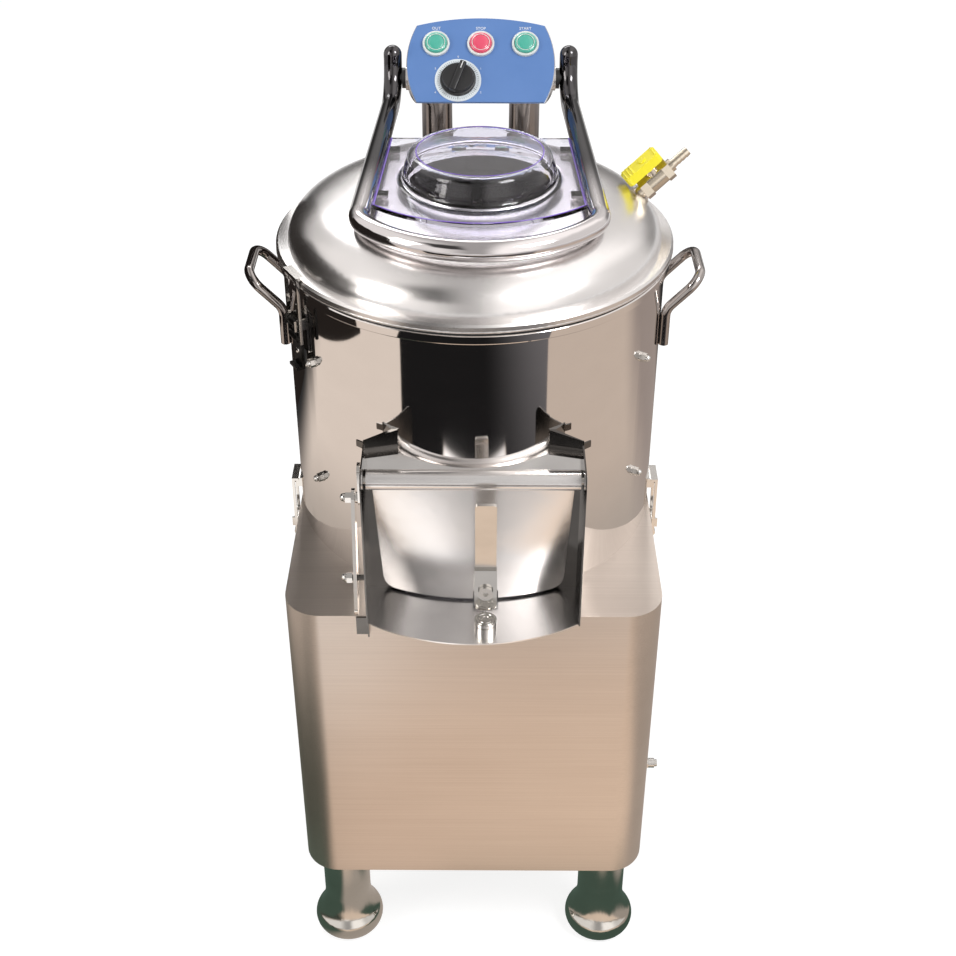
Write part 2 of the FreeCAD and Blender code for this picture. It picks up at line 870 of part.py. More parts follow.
def control_box():
    inside = 200.0
    bounds = block(-inside, inside, panel_front - 20, box_back, box_underside, box_underside + inside)
    inner_bounds = block(-inside, inside, panel_front - 20, box_back - box_sheet,
                         box_underside + box_sheet, box_underside + inside)
    shell = shield(box_lip, -panel_thickness, inside).common(bounds)
    hollow = shield(box_lip - box_sheet, -panel_thickness, inside).common(inner_bounds)
    bosses = []
    for side in (-1, 1):
        base = pivot_point(side, 0)
        boss = rod(base, V(side, 0, 0), sleeve_radius + 2, panel_half_middle - 12, boss_face())
        bosses.append(boss.cut(shield(0, 20, 20 + panel_thickness)))
    shell = shell.cut(hollow).fuse(bosses).removeSplitter()
    sockets = [rod(pivot_point(side, 0), V(side, 0, 0), pivot_radius, panel_half_middle - 8, 200)
               for side in (-1, 1)]
    return shell.cut(sockets)


def control_panel():
    plate = shield(0, 0, panel_thickness)
    cuts = [rod(c, panel_out(), button_radius + button_gap + bezel_wall + 0.1, -10, 10) for c in button_places()]
    cuts.append(rod(timer_place(), panel_out(), timer_shaft + 2, -10, 10))
    return plate.cut(cuts)


def button_bezels():
    bezels = []
    bore = button_radius + button_gap
    for centre in button_places():
        flange = rod(centre, panel_out(), bezel_radius, 0, bezel_height)
        flange = flange.makeChamfer(1.2, [e for e in flange.Edges if len(e.Vertexes) == 1 and
                                          (e.CenterOfMass - centre).dot(panel_out()) > 1])
        barrel_tube = rod(centre, panel_out(), bore + bezel_wall, -bezel_depth, 1)
        bezels.append(flange.fuse(barrel_tube).cut(rod(centre, panel_out(), bore, -40, 40)))
    return bezels


def push_button(index):
    centre = button_places()[index]
    cap = rod(centre, panel_out(), button_radius, -button_depth, button_height)
    rim = [e for e in cap.Edges if len(e.Vertexes) == 1 and (e.CenterOfMass - centre).dot(panel_out()) > 1]
    cap = cap.makeFillet(1.5, rim)
    return cap.fuse(rod(centre, panel_out(), button_stem, -24, -button_depth + 1)).removeSplitter()


def switch_bodies():
    bodies = []
    for centre in button_places():
        solid = block(-12, 12, -12, 12, -37, -bezel_depth)
        solid = place(solid, centre, V(1, 0, 0), panel_up())
        bodies.append(solid.cut(rod(centre, panel_out(), button_stem + 0.3, -30, 0)))
    timer = rod(timer_place(), panel_out(), 12, -11, -panel_thickness)
    bodies.append(timer.cut(rod(timer_place(), panel_out(), timer_shaft + running_gap, -20, 5)))
    return bodies


def timer_dial():
    dial = rod(timer_place(), panel_out(), dial_radius, 0, dial_thickness)
    return dial.cut(rod(timer_place(), panel_out(), timer_shaft + 2, -5, 5))


def timer_knob():
    low = dial_thickness + knob_gap
    skirt = rod(timer_place(), panel_out(), knob_radius, low, low + 4)
    crown = Part.makeCone(knob_radius - 1, knob_radius - 3, knob_height - 9, V(0, 0, low + 4), V(0, 0, 1))
    crown = place(crown, timer_place(), V(1, 0, 0), panel_up())
    grip = block(-3.6, 3.6, -knob_radius + 1.2, knob_radius - 1.2, low + 3, low + knob_height)
    grip.rotate(V(0, 0, 0), V(0, 0, 1), -20)
    grip = place(grip, timer_place(), V(1, 0, 0), panel_up())
    shaft = rod(timer_place(), panel_out(), timer_shaft, -10, low + 1)
    return skirt.fuse([crown, grip, shaft]).removeSplitter()


def tower_posts():
    posts = []
    for centre in post_centres():
        post = upright(post_radius, 0, box_underside, centre.x, centre.y)
        flange = upright(post_flange_radius, 0, post_flange_thickness, centre.x, centre.y)
        collar = upright(post_collar_radius, box_underside - post_collar_height, box_underside,
                         centre.x, centre.y)
        bore = upright(post_radius - post_wall, -1, box_underside + 1, centre.x, centre.y)
        posts.append(post.fuse([flange, collar]).removeSplitter().cut(bore))
    holes = [upright(screw_radius + hole_clearance, -5, 20, c.x, c.y) for c in post_screws()]
    return [post.cut(holes) for post in posts]


def pivot_bolts():
    bolts = []
    reach = arm_half_at_pivot()
    for side in (-1, 1):
        base = pivot_point(side, 0)
        way = V(side, 0, 0)
        sleeve = rod(base, way, sleeve_radius, boss_face(), reach - frame_rod - sleeve_gap)
        shank = rod(base, way, pivot_radius, panel_half_middle - 8, reach)
        bolts.append(shank.fuse(sleeve).removeSplitter())
    return bolts


# Lifting cover
def bow_points():
    swing = math.radians(bow_half_angle)
    centre = V(0, bow_centre_y, frame_z)
    corner = centre + V(math.sin(swing), -math.cos(swing), 0) * (bow_radius - bow_corner)
    corner_start = centre + V(math.sin(swing), -math.cos(swing), 0) * bow_radius
    reach = V(arm_end_half, arm_end_y, frame_z) - corner
    turn = math.atan2(reach.y, reach.x) - math.acos(bow_corner / reach.Length)
    corner_end = corner + V(math.cos(turn), math.sin(turn), 0) * bow_corner
    mid_turn = (turn + swing - math.pi / 2) / 2
    corner_mid = corner + V(math.cos(mid_turn), math.sin(mid_turn), 0) * bow_corner
    return corner_start, corner_mid, corner_end


def arm_drift():
    end = V(arm_end_half, arm_end_y, frame_z)
    return (end - bow_points()[2]).normalize()


def flipped(point):
    return V(-point.x, point.y, point.z)


def frame_path():
    start, middle, end = bow_points()
    leg_end = V(arm_end_half, arm_end_y, frame_z)
    drift = arm_drift()
    half_turn = math.radians(45)
    bend_centre = leg_end + V(0, 0, arm_bend)
    bend_middle = bend_centre + drift * (arm_bend * math.sin(half_turn)) - V(0, 0, arm_bend * math.cos(half_turn))
    bend_end = bend_centre + drift * arm_bend
    riser_end = bend_end + V(0, 0, arm_riser)
    right = [arc(start, middle, end), line(end, leg_end), arc(leg_end, bend_middle, bend_end),
             line(bend_end, riser_end)]
    left = [arc(flipped(start), flipped(middle), flipped(end)), line(flipped(end), flipped(leg_end)),
            arc(flipped(leg_end), flipped(bend_middle), flipped(bend_end)),
            line(flipped(bend_end), flipped(riser_end))]
    bow = arc(flipped(start), V(0, bow_centre_y - bow_radius, frame_z), start)
    wire = Part.Wire(left[::-1] + [bow] + right)
    wire.translate(V(tower_x, 0, 0))
    return wire, [V(tower_x + s * riser_end.x, riser_end.y, riser_end.z) for s in (-1, 1)]


def arm_x(y):
    end = bow_points()[2]
    drift = arm_drift()
    return end.x + drift.x * (y - end.y) / drift.y


def tab_screws():
    inset = frame_rod + tab_length / 2
    return [V(tower_x + side * (arm_x(y) - inset), y, cover_z) for side in (-1, 1) for y in tab_places]


def cover_frame():
    path, ends = frame_path()
    tube = swept(path, frame_rod).fuse([Part.makeSphere(frame_rod, p) for p in ends])
    tabs = []
    for side in (-1, 1):
        for y in tab_places:
            outer = arm_x(y) - frame_rod * 0.7
            inner = arm_x(y) - frame_rod - tab_length
            x0, x1 = sorted((tower_x + side * inner, tower_x + side * outer))
            tabs.append(block(x0, x1, y - tab_width / 2, y + tab_width / 2, cover_z - tab_thickness, cover_z))
    cuts = [swept(path, frame_rod - frame_wall)]
    cuts += [rod(p, V(0, 0, 1), screw_radius, -tab_thickness - 1, 1) for p in tab_screws()]
    for side in (-1, 1):
        cuts.append(rod(pivot_point(side, 0), V(side, 0, 0), pivot_radius + running_gap,
                        panel_half_middle, arm_half_at_pivot() + 1))
    return tube.fuse(tabs).cut(cuts)


def clear_cover():
    front_x = arm_x(cover_corner_y) - frame_rod - cover_side_gap
    back_x = arm_x(cover_back) - frame_rod - cover_side_gap
    edges = [
        arc(V(-front_x, cover_corner_y, cover_z), V(0, cover_front, cover_z), V(front_x, cover_corner_y, cover_z)),
        line(V(front_x, cover_corner_y, cover_z), V(back_x, cover_back, cover_z)),
        line(V(back_x, cover_back, cover_z), V(-back_x, cover_back, cover_z)),
        line(V(-back_x, cover_back, cover_z), V(-front_x, cover_corner_y, cover_z)),
    ]
    plate = closed_face(edges).extrude(V(0, 0, cover_thickness))
    plate.translate(V(tower_x, 0, 0))
    top = cover_z + cover_thickness
    crown = top + dome_rise
    base, crown_r = dome_base, dome_top_radius
    wall = dome_wall
    dome = turned_edges([
        arc(V(base + 9, 0, top), V(base + 2.4, 0, top + 2.2), V(base, 0, top + 8)),
        line(V(base, 0, top + 8), V(base - 4, 0, crown - 8)),
        arc(V(base - 4, 0, crown - 8), V(base - 6.6, 0, crown - 2.2), V(crown_r, 0, crown)),
        line(V(crown_r, 0, crown), V(0, 0, crown)),
        line(V(0, 0, crown), V(0, 0, crown - wall)),
        line(V(0, 0, crown - wall), V(crown_r - 1, 0, crown - wall)),
        arc(V(crown_r - 1, 0, crown - wall), V(base - 9, 0, crown - 4.6), V(base - 4 - wall, 0, crown - 9)),
        line(V(base - 4 - wall, 0, crown - 9), V(base - wall, 0, top + 6)),
        line(V(base - wall, 0, top + 6), V(base - wall, 0, cover_z)),
        line(V(base - wall, 0, cover_z), V(base + 9, 0, cover_z)),
        line(V(base + 9, 0, cover_z), V(base + 9, 0, top)),
    ], feed_x, feed_y)
    plate = plate.cut(upright(base, cover_z - 5, top + 5, feed_x, feed_y))
    holes = [rod(p, V(0, 0, 1), screw_radius, -5, cover_thickness - 1) for p in tab_screws()]
    return plate.fuse(dome).removeSplitter().cut(holes)


def cover_screws():
    return [pan_screw(p - V(0, 0, tab_thickness), V(0, 0, -1), tab_thickness + cover_thickness - 1)
            for p in tab_screws()]


# Chute
def barrel_contact(x):
    return -math.sqrt(barrel_radius ** 2 - x ** 2)


def chute_plan(front):
    half = chute_half_width
    deep = barrel_contact(wing_half_width)
    return [V(-half, -front, 0), V(half, -front, 0), V(half, -chute_heel, 0),
            V(wing_half_width, deep, 0), V(wing_half_width, deep + 60, 0), V(-wing_half_width, deep + 60, 0),
            V(-wing_half_width, deep, 0), V(-half, -chute_heel, 0)]


def barrel_core():
    return upright(barrel_radius, -50, 400)


def lower_stud_place():
    lean = math.radians(stay_lean)
    start = V(0, hinge_y, hinge_z - crank_length)
    return start + V(0, -math.sin(lean), -math.cos(lean)) * lower_stud_reach


def chute_side(side):
    t = plate_thickness
    inner = chute_half_width
    wall = block(inner, inner + t, -chute_front, -chute_heel, chute_bottom, chute_top)
    front_top = [e for e in wall.Edges if abs(e.tangentAt(e.FirstParameter).x) > 0.9 and
                 e.CenterOfMass.y < -chute_front + 1 and e.CenterOfMass.z > chute_top - 1]
    wall = wall.makeFillet(chute_corner, front_top)
    deep = barrel_contact(wing_half_width)
    lift = chute_top + wing_rise
    wing_plan = [V(inner + t, -chute_heel - t, chute_bottom), V(wing_half_width, deep - t, chute_bottom),
                 V(wing_half_width, deep + 4, chute_bottom), V(inner, -chute_heel, chute_bottom),
                 V(inner + t, -chute_heel, chute_bottom)]
    wing = outline(wing_plan).extrude(V(0, 0, lift - chute_bottom))
    slope = outline([V(inner + 9, 0, chute_top), V(wing_half_width - 9, 0, lift + 3),
                     V(wing_half_width - 9, 0, lift + 30), V(inner + 9, 0, lift + 30)]).extrude(V(0, -260, 0))
    wing = wing.cut([slope, barrel_core()])
    tab = outline([V(inner + t, -chute_heel - t, chute_top - 7), V(inner + t + 7, -chute_heel + 4, chute_top - 7),
                   V(inner + t + 6, -chute_heel + 5, chute_top - 7), V(inner, -chute_heel, chute_top - 7)])
    plate = wall.fuse([wing, tab.extrude(V(0, 0, 7))])
    pin = rod(V(0, hinge_y, hinge_z), V(1, 0, 0), hinge_pin_radius + running_gap, 50, 150)
    plate = plate.cut(pin)
    if side > 0:
        return plate.removeSplitter()
    mirrored = plate.mirror(V(0, 0, 0), V(1, 0, 0))
    toe = block(-inner - t, -inner, -cabinet_front - lug_depth, -cabinet_front, lug_bottom, chute_bottom)
    lug = block(-inner - lug_width, -inner, -cabinet_front - t, -cabinet_front, lug_bottom, -1)
    stud = rod(lower_stud_place(), V(-1, 0, 0), stud_radius, inner + t / 2, -stay_x + stay_thickness + stay_nut_gap)
    return mirrored.fuse([toe, lug, stud]).removeSplitter()


def chute_floor():
    lip_centre = lip_radius - lip_front
    plan = outline(chute_plan(300)).extrude(V(0, 0, plate_thickness))
    plan.translate(V(0, 0, chute_bottom))
    lip = upright(lip_radius, -10, 50, 0, lip_centre)
    return plan.common(lip).cut([barrel_core(), chute_side(-1), chute_side(1)])


def hood():
    slope = math.tan(math.radians(hood_slope))
    tube_clear = hinge_tube_radius + hood_gap
    low_y = hinge_y + tube_clear * math.sin(math.radians(60))
    low_z = hinge_z + tube_clear * math.cos(math.radians(60))
    far_y = barrel_contact(wing_half_width) + 5
    far_z = low_z + (far_y - low_y) * slope
    half = chute_half_width
    section = outline([V(-half, low_y, low_z), V(-half, far_y, far_z), V(-half, far_y, far_z + plate_thickness),
                       V(-half, low_y, low_z + plate_thickness)])
    sheet = section.extrude(V(2 * half, 0, 0))
    bounds = outline(chute_plan(chute_front)).extrude(V(0, 0, 400))
    wings = [outline([V(s * half, -chute_heel - plate_thickness, 0),
                      V(s * wing_half_width, barrel_contact(wing_half_width) - plate_thickness, 0),
                      V(s * wing_half_width, -100, 0), V(s * half, -100, 0)]).extrude(V(0, 0, 400))
             for s in (-1, 1)]
    return sheet.common(bounds).cut(wings + [barrel_core()])


def catch_roller():
    low = chute_bottom + plate_thickness
    body = upright(roller_radius, low, roller_top, lever_x, roller_y)
    groove = ring(roller_radius + 1, roller_radius - 1, low + 6.5, low + 7.7, lever_x, roller_y)
    socket = hexagon(V(lever_x, roller_y, 0), V(0, 0, 1), 5, roller_top - 3, roller_top + 1)
    rim = ring(roller_radius - 2.5, roller_radius - 3.7, roller_top - 0.8, roller_top + 1, lever_x, roller_y)
    return body.cut([groove, socket, rim])


# Door
def door_band(half, straight, radius, thickness, z):
    if straight:
        y = hinge_y - thickness
        front = line(V(-half, y - thickness, z), V(half, y - thickness, z))
        back = line(V(half, y, z), V(-half, y, z))
        ends = [V(-half, y - thickness, z), V(half, y - thickness, z), V(half, y, z), V(-half, y, z)]
    else:
        outer = math.sqrt(radius ** 2 - half ** 2)
        inner_r = radius - thickness
        inner = math.sqrt(inner_r ** 2 - half ** 2)
        front = arc(V(-half, -outer, z), V(0, -radius, z), V(half, -outer, z))
        back = arc(V(half, -inner, z), V(0, -inner_r, z), V(-half, -inner, z))
        ends = [V(-half, -outer, z), V(half, -outer, z), V(half, -inner, z), V(-half, -inner, z)]
    return Part.Wire([front, line(ends[1], ends[2]), back, line(ends[3], ends[0])])


def lever_axis():
    return V(lever_x, 0, lever_z)


def door_panel():
    top_z = hinge_z - hinge_tube_radius + 3
    upper = door_band(door_half_top, True, door_radius, door_thickness, top_z)
    lower = door_band(door_half_bottom, False, door_radius, door_thickness, door_bottom)
    sheet = Part.makeLoft([lower, upper], True, True)
    trim = window(door_half_bottom, 0, door_bottom, door_bottom + 3 * door_corner, -300, -100, door_corner)
    sheet = sheet.common(trim.fuse(block(-200, 200, -300, -100, door_bottom + door_corner, 400)))
    notch = block(lever_x - door_notch, lever_x + door_notch, -300, -100, 0, door_bottom + door_notch_height)
    axis = V(0, hinge_y, hinge_z)
    reach = chute_half_width - hinge_tube_gap
    tube = rod(axis, V(1, 0, 0), hinge_tube_radius, -reach, reach)
    boss = rod(lever_axis(), V(0, -1, 0), 9, door_radius - 4, lever_standoff)
    boss = boss.cut(upright(door_radius - door_thickness / 2, 0, 200))
    bore = rod(axis, V(1, 0, 0), hinge_pin_radius, -300, 300)
    screw_hole = rod(lever_axis(), V(0, -1, 0), hinge_pin_radius, lever_standoff - 15, lever_standoff + 5)
    return sheet.cut(notch).fuse([tube, boss]).cut([bore, screw_hole]).removeSplitter()


def lever_screw():
    base = lever_axis()
    way = V(0, -1, 0)
    face = lever_standoff + lever_thickness + 0.3
    shank = rod(base, way, hinge_pin_radius, lever_standoff - 15, face + 1)
    head = rod(base, way, 7.5, face, face + 3.5)
    socket = hexagon(base, way, 5, face + 1, face + 6)
    return shank.fuse(head).removeSplitter().cut(socket)


def door_crank():
    axis = V(0, hinge_y, hinge_z)
    stud = axis - V(0, 0, crank_length)
    left = crank_x - crank_thickness
    pin = rod(axis, V(1, 0, 0), hinge_pin_radius, left, chute_half_width + plate_thickness + 1)
    plate = block(left, crank_x, hinge_y - crank_width / 2, hinge_y + crank_width / 2,
                  stud.z - 6, hinge_z + 18)
    edges = [e for e in plate.Edges if abs(e.tangentAt(e.FirstParameter).x) > 0.9]
    plate = plate.makeFillet(5, edges)
    collar = rod(axis, V(1, 0, 0), 6, crank_x, crank_x + 1.5)
    end = chute_half_width + plate_thickness
    head = rod(axis, V(1, 0, 0), pin_head_radius, end + 0.4, end + pin_head_height)
    post = rod(stud, V(-1, 0, 0), stud_radius, -crank_x + 1, -stay_x + stay_thickness + 4)
    spacer = rod(stud, V(-1, 0, 0), 5.5, -left, -stay_x - 0.3)
    cap = acorn(stud, V(-1, 0, 0), 10, -stay_x + stay_thickness + 0.4)
    return pin.fuse([plate, collar, head, post, spacer, cap]).removeSplitter()


def stay_bar():
    half = stay_width / 2
    bar = block(stay_x - stay_thickness, stay_x, -half, half, -stay_length, half)
    edges = [e for e in bar.Edges if abs(e.tangentAt(e.FirstParameter).x) > 0.9]
    bar = bar.makeFillet(half - 0.5, edges)
    hole = rod(V(0, 0, 0), V(-1, 0, 0), stud_radius + running_gap, 50, 200)
    slot = block(stay_x - 20, stay_x + 20, -stay_slot_width / 2, stay_slot_width / 2,
                 -stay_slot_end, -stay_slot_start)
    bar = bar.cut([hole, slot])
    bar.rotate(V(0, 0, 0), V(1, 0, 0), -stay_lean)
    bar.translate(V(0, hinge_y, hinge_z - crank_length))
    return bar


def door_lever():
    face = lever_standoff
    low_block = block(-lever_half_width, lever_half_width, -face - lever_thickness, -face, lever_bottom, lever_top)
    edges = [e for e in low_block.Edges if abs(e.tangentAt(e.FirstParameter).y) > 0.9 and
             e.CenterOfMass.z < lever_bottom + 1]
    low_block = low_block.makeFillet(8, edges)
    bar = outline([V(-bar_half_width, -face, lever_top - 2), V(-bar_half_width, -face - bar_tilt, bar_top),
                   V(-bar_half_width, -face - bar_tilt - bar_thickness, bar_top),
                   V(-bar_half_width, -face - bar_thickness, lever_top - 2)])
    bar = bar.extrude(V(2 * bar_half_width, 0, 0))
    top_edges = [e for e in bar.Edges if abs(e.tangentAt(e.FirstParameter).x) < 0.1 and
                 e.CenterOfMass.z > bar_top - 1]
    bar = bar.makeFillet(3, top_edges)
    lever = low_block.fuse(bar).removeSplitter()
    lever.translate(V(lever_x, 0, 0))
    return lever.cut(rod(lever_axis(), V(0, -1, 0), hinge_pin_radius + running_gap, face - 20, face + 20))


# Draw latches: u runs out from the wall, w along it
def latch_place(shape, angle, reach):
    out = outward(angle)
    return place(shape, out * reach, out.cross(V(0, 0, 1)), out)


def latch_pins(pivot_z_at):
    pivot = V(0, latch_pivot_reach, pivot_z_at)
    return pivot, pivot - V(0, 0, latch_throw)


def latch_base(angle, reach, height):
    pivot, _ = latch_pins(height)
    half = latch_half_width
    plate = block(-half, half, 0, latch_plate, height - 30, height + 12)
    ears = []
    for side in (-1, 1):
        x0, x1 = sorted((side * (half - 1), side * (half - 1 - latch_ear)))
        ears.append(block(x0, x1, latch_plate - 0.5, latch_pivot_reach + 5, height - 5, height + 6))
    pin = rod(pivot, V(1, 0, 0), latch_pin, -half + 0.8, half - 0.8)
    return latch_place(plate.fuse(ears + [pin]).removeSplitter(), angle, reach)


def latch_lever(angle, reach, height):
    pivot, bail_pin = latch_pins(height)
    half = latch_half_width - 1 - latch_ear - latch_ear_gap
    u0 = latch_pivot_reach - latch_eye
    strap = block(-half, half, u0, u0 + latch_lever_thickness, height - latch_lever_length, height)
    finger = block(-half, half, u0, u0 + 9, height - latch_lever_length - 3, height - latch_lever_length)
    eyes = [rod(p, V(1, 0, 0), latch_eye, -half, half) for p in (pivot, bail_pin)]
    bores = [rod(p, V(1, 0, 0), latch_pin + running_gap, -50, 50) for p in (pivot, bail_pin)]
    return latch_place(strap.fuse([finger] + eyes).cut(bores).removeSplitter(), angle, reach)


def latch_bail(angle, reach, height, hook_z, hook_reach):
    _, bail_pin = latch_pins(height)
    x0 = latch_half_width - 0.4
    x1 = x0 + bail_thickness
    u0 = latch_pivot_reach - bail_thickness / 2
    u1 = u0 + bail_thickness
    legs = [block(min(s * x0, s * x1), max(s * x0, s * x1), u0, u1, bail_pin.z - 3.5, hook_z + bail_thickness)
            for s in (-1, 1)]
    cross = block(-x1, x1, hook_reach, u1, hook_z, hook_z + bail_thickness)
    pin = rod(bail_pin, V(1, 0, 0), latch_pin, -x0 - 1, x0 + 1)
    return latch_place(legs[0].fuse([legs[1], cross, pin]).removeSplitter(), angle, reach)


def base_keeper(angle):
    half = latch_half_width - 3
    body = block(-half, half, -4, keeper_reach - 5, keeper_bottom, keeper_top)
    nose = block(-half, half, -4, keeper_reach, keeper_top - 5, keeper_top)
    return latch_place(body.fuse(nose).removeSplitter(), angle, barrel_radius).cut(barrel_core())


def latch_plates():
    plates = [latch_base(angle, barrel_radius, lid_latch_z) for angle in lid_latch_angles]
    plates += [latch_base(angle, half_cabinet, base_latch_z) for angle in (-90.0, 90.0)]
    return plates


def latch_set():
    rim = lid_rim_bottom + lid_rim_height + hook_gap
    reach_in = lid_rim_radius - barrel_radius - 5
    names = ("lid_latch_front", "lid_latch_rear")
    for name, angle in zip(names, lid_latch_angles):
        yield name, angle, barrel_radius, lid_latch_z, rim, reach_in
    for name, angle in (("base_latch_left", -90.0), ("base_latch_right", 90.0)):
        yield name, angle, half_cabinet, base_latch_z, keeper_top + hook_gap, 3.0


# Water valve
def valve_up():
    along = valve_way()
    return (V(0, 0, 1) - along * along.z).normalize()


def valve_stem_base():
    return valve_point() + valve_way() * valve_stem_along


def valve_body():
    base, way = valve_point(), valve_way()
    solid = rod(base, way, valve_thread, -8, 3).fuse([
        hexagon(base, way, 2 * valve_hex, 2.5, 11), rod(base, way, valve_body_radius, 10, 31),
        hexagon(base, way, 2 * valve_hex, 30, valve_length),
        rod(valve_stem_base(), valve_up(), valve_stem + 3, 0, 14)]).removeSplitter()
    bore = rod(base, way, valve_bore, -20, 60)
    stem_bore = rod(valve_stem_base(), valve_up(), valve_stem + running_gap, 5, 30)
    return solid.cut([bore, stem_bore])


def valve_lever():
    base, up = valve_stem_base(), valve_up()
    stem = rod(base, up, valve_stem, 6, 16)
    hub = rod(base, up, valve_stem + 3.5, 14.3, 19)
    wing = block(-tap_inward, tap_outward, -tap_half_width, tap_half_width, tap_low, tap_high)
    edges = [e for e in wing.Edges if abs(e.tangentAt(e.FirstParameter).z) > 0.9]
    wing = wing.makeFillet(5, edges)
    turn = FreeCAD.Rotation(valve_way(), up.cross(valve_way()), up, "ZXY")
    wing.Placement = FreeCAD.Placement(base, turn)
    return stem.fuse([hub, wing]).removeSplitter()


def hose_barb():
    base, way = valve_point(), valve_way()
    solid = rod(base, way, barb_radius - barb_ridge, valve_length, valve_length + barb_length)
    pieces = [rod(base, way, barb_radius + 2, valve_length, valve_length + 4)]
    pitch = (barb_length - 4) / 4
    for i in range(4):
        start = valve_length + 4 + i * pitch
        ridge = Part.makeCone(barb_radius, barb_radius - barb_ridge, pitch, base + way * start, way)
        pieces.append(ridge)
    return solid.fuse(pieces).cut(rod(base, way, valve_bore - 1.5, 0, 100)).removeSplitter()


def build():
    save("base_cabinet", base_cabinet())
    save("base_plate", base_plate())
    save("rear_cover", rear_cover())
    save("cabinet_screws", *cabinet_screws())
    save("legs", *[leg(side * x, y) for x, y in leg_places() for side in (-1, 1)])
    save("foot_soles", *foot_soles())
    save("barrel", barrel())
    save("barrel_floor", barrel_floor())
    save("drain_pipe", drain_pipe())
    save("abrasive_liners", *abrasive_liners())
    save("acorn_nuts", *acorn_nuts())
    save("bearing_housing", bearing_housing())
    save("bearings", *bearings())
    save("drive_shaft", drive_shaft())
    save("abrasive_disc", abrasive_disc())
    save("large_pulley", large_pulley())
    save("motor_rotor", motor_rotor())
    save("drive_belt", drive_belt())
    save("motor_body", motor_body())
    save("motor_bracket", motor_bracket())
    save("cable_gland", cable_gland())
    save("terminal_stud", terminal_stud())
    save("lid", lid())
    save("lid_gasket", lid_gasket())
    save("barrel_handles", handle(-1), handle(1))
    save("tower_posts", *tower_posts())
    save("control_box", control_box())
    save("control_panel", control_panel())
    save("button_bezels", *button_bezels())
    for index, name in enumerate(("left", "middle", "right")):
        save("button_" + name, push_button(index))
    save("switch_bodies", *switch_bodies())
    save("timer_dial", timer_dial())
    save("timer_knob", timer_knob())
    save("pivot_bolts", *pivot_bolts())
    save("cover_frame", cover_frame())
    save("clear_cover", clear_cover())
    save("cover_screws", *cover_screws())
    save("chute_sides", chute_side(-1), chute_side(1))
    save("chute_floor", chute_floor())
    save("chute_hood", hood())
    save("catch_roller", catch_roller())
    save("door_panel", door_panel())
    save("lever_screw", lever_screw())
    save("door_crank", door_crank())
    save("stay_bar", stay_bar())
    save("door_lever", door_lever())
    save("latch_plates", *latch_plates(), *[base_keeper(angle) for angle in (-90.0, 90.0)])
    for name, angle, reach, height, hook_z, hook_reach in latch_set():
        save(name + "_lever", latch_lever(angle, reach, height))
        save(name + "_bail", latch_bail(angle, reach, height, hook_z, hook_reach))
    save("valve_body", valve_body())
    save("valve_lever", valve_lever())
    save("hose_barb", hose_barb())


build()
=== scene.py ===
# %% [markdown]
# # A potato peeler in polished steel
# The machine is a cabinet on four bell-footed legs, a mirror-polished barrel with a discharge chute,
# a spun lid with a lifting clear cover, and a tilted control box on two posts. Its solids come from the
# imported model. This lesson dresses them: it lights them like a product photograph, gives each one the
# finish of its real material, and adds the small pieces that make a machine look made.

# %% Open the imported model
import json
import math
import bpy
import bmesh
from mathutils import Matrix, Vector


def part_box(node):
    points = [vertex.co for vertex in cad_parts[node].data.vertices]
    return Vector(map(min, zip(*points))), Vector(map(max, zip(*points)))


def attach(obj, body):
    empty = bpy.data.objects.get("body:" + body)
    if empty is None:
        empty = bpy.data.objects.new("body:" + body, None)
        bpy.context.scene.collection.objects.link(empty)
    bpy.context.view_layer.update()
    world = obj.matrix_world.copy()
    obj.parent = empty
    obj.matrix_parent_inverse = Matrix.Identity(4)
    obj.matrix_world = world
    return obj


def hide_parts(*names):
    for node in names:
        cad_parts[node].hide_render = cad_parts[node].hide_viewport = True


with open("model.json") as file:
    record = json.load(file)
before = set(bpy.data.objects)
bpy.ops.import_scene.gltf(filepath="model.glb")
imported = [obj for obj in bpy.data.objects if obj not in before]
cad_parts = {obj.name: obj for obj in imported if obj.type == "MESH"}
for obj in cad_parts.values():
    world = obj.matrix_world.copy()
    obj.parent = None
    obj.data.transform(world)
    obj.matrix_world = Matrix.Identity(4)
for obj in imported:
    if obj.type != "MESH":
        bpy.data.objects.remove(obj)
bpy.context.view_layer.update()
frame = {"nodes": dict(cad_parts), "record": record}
nodes = frame["nodes"]

# %% [markdown]
# ## Where things are
# Most pieces are drawn about the barrel's axis, in millimetres above the cabinet's top. Reading that
# point from the model itself, and not typing it in, keeps every added piece on what carries it.

# %% Find the barrel's axis on the cabinet's top
low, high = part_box("barrel")
home = Vector(((low.x + high.x) / 2, (low.y + high.y) / 2, low.z))


def at(x, y, z):
    """A place in millimetres from the barrel's axis at the cabinet's top, in metres in the scene."""
    return home + Vector((x, y, z)) / 1000


print("home", [round(v, 4) for v in home])

# %% [markdown]
# ## The camera
# The photograph was taken from in front, over a third of a right angle above the horizon, with a
# rather long lens. A camera with the same height, tilt and field shows the same proportions.

# %% Set up the camera
photo_width = 956
focal_length = 1500.78  # in pixels of that width
look_down, lean, look_aside = 34.418, -0.052, 0.269  # in degrees
camera = bpy.data.objects.new("camera", bpy.data.cameras.new("camera"))
bpy.context.scene.collection.objects.link(camera)
camera.location = at(9.1, -1372.2, 953.0)
camera.rotation_euler = (math.radians(90 - look_down), math.radians(lean), math.radians(look_aside))
camera.data.sensor_width = 36
camera.data.lens = camera.data.sensor_width * focal_length / photo_width
camera.data.clip_end = 100
bpy.context.scene.camera = camera
bpy.context.scene.view_settings.view_transform = "Standard"
print("lens", round(camera.data.lens, 2), "mm")

# %% [markdown]
# ## Shader sums
# A finish is a small graph of nodes. Wrapping a socket in a class that knows plus, minus and times lets
# a finish be written as an ordinary sum, and one method makes every other kind of node.

# %% A value in a node tree


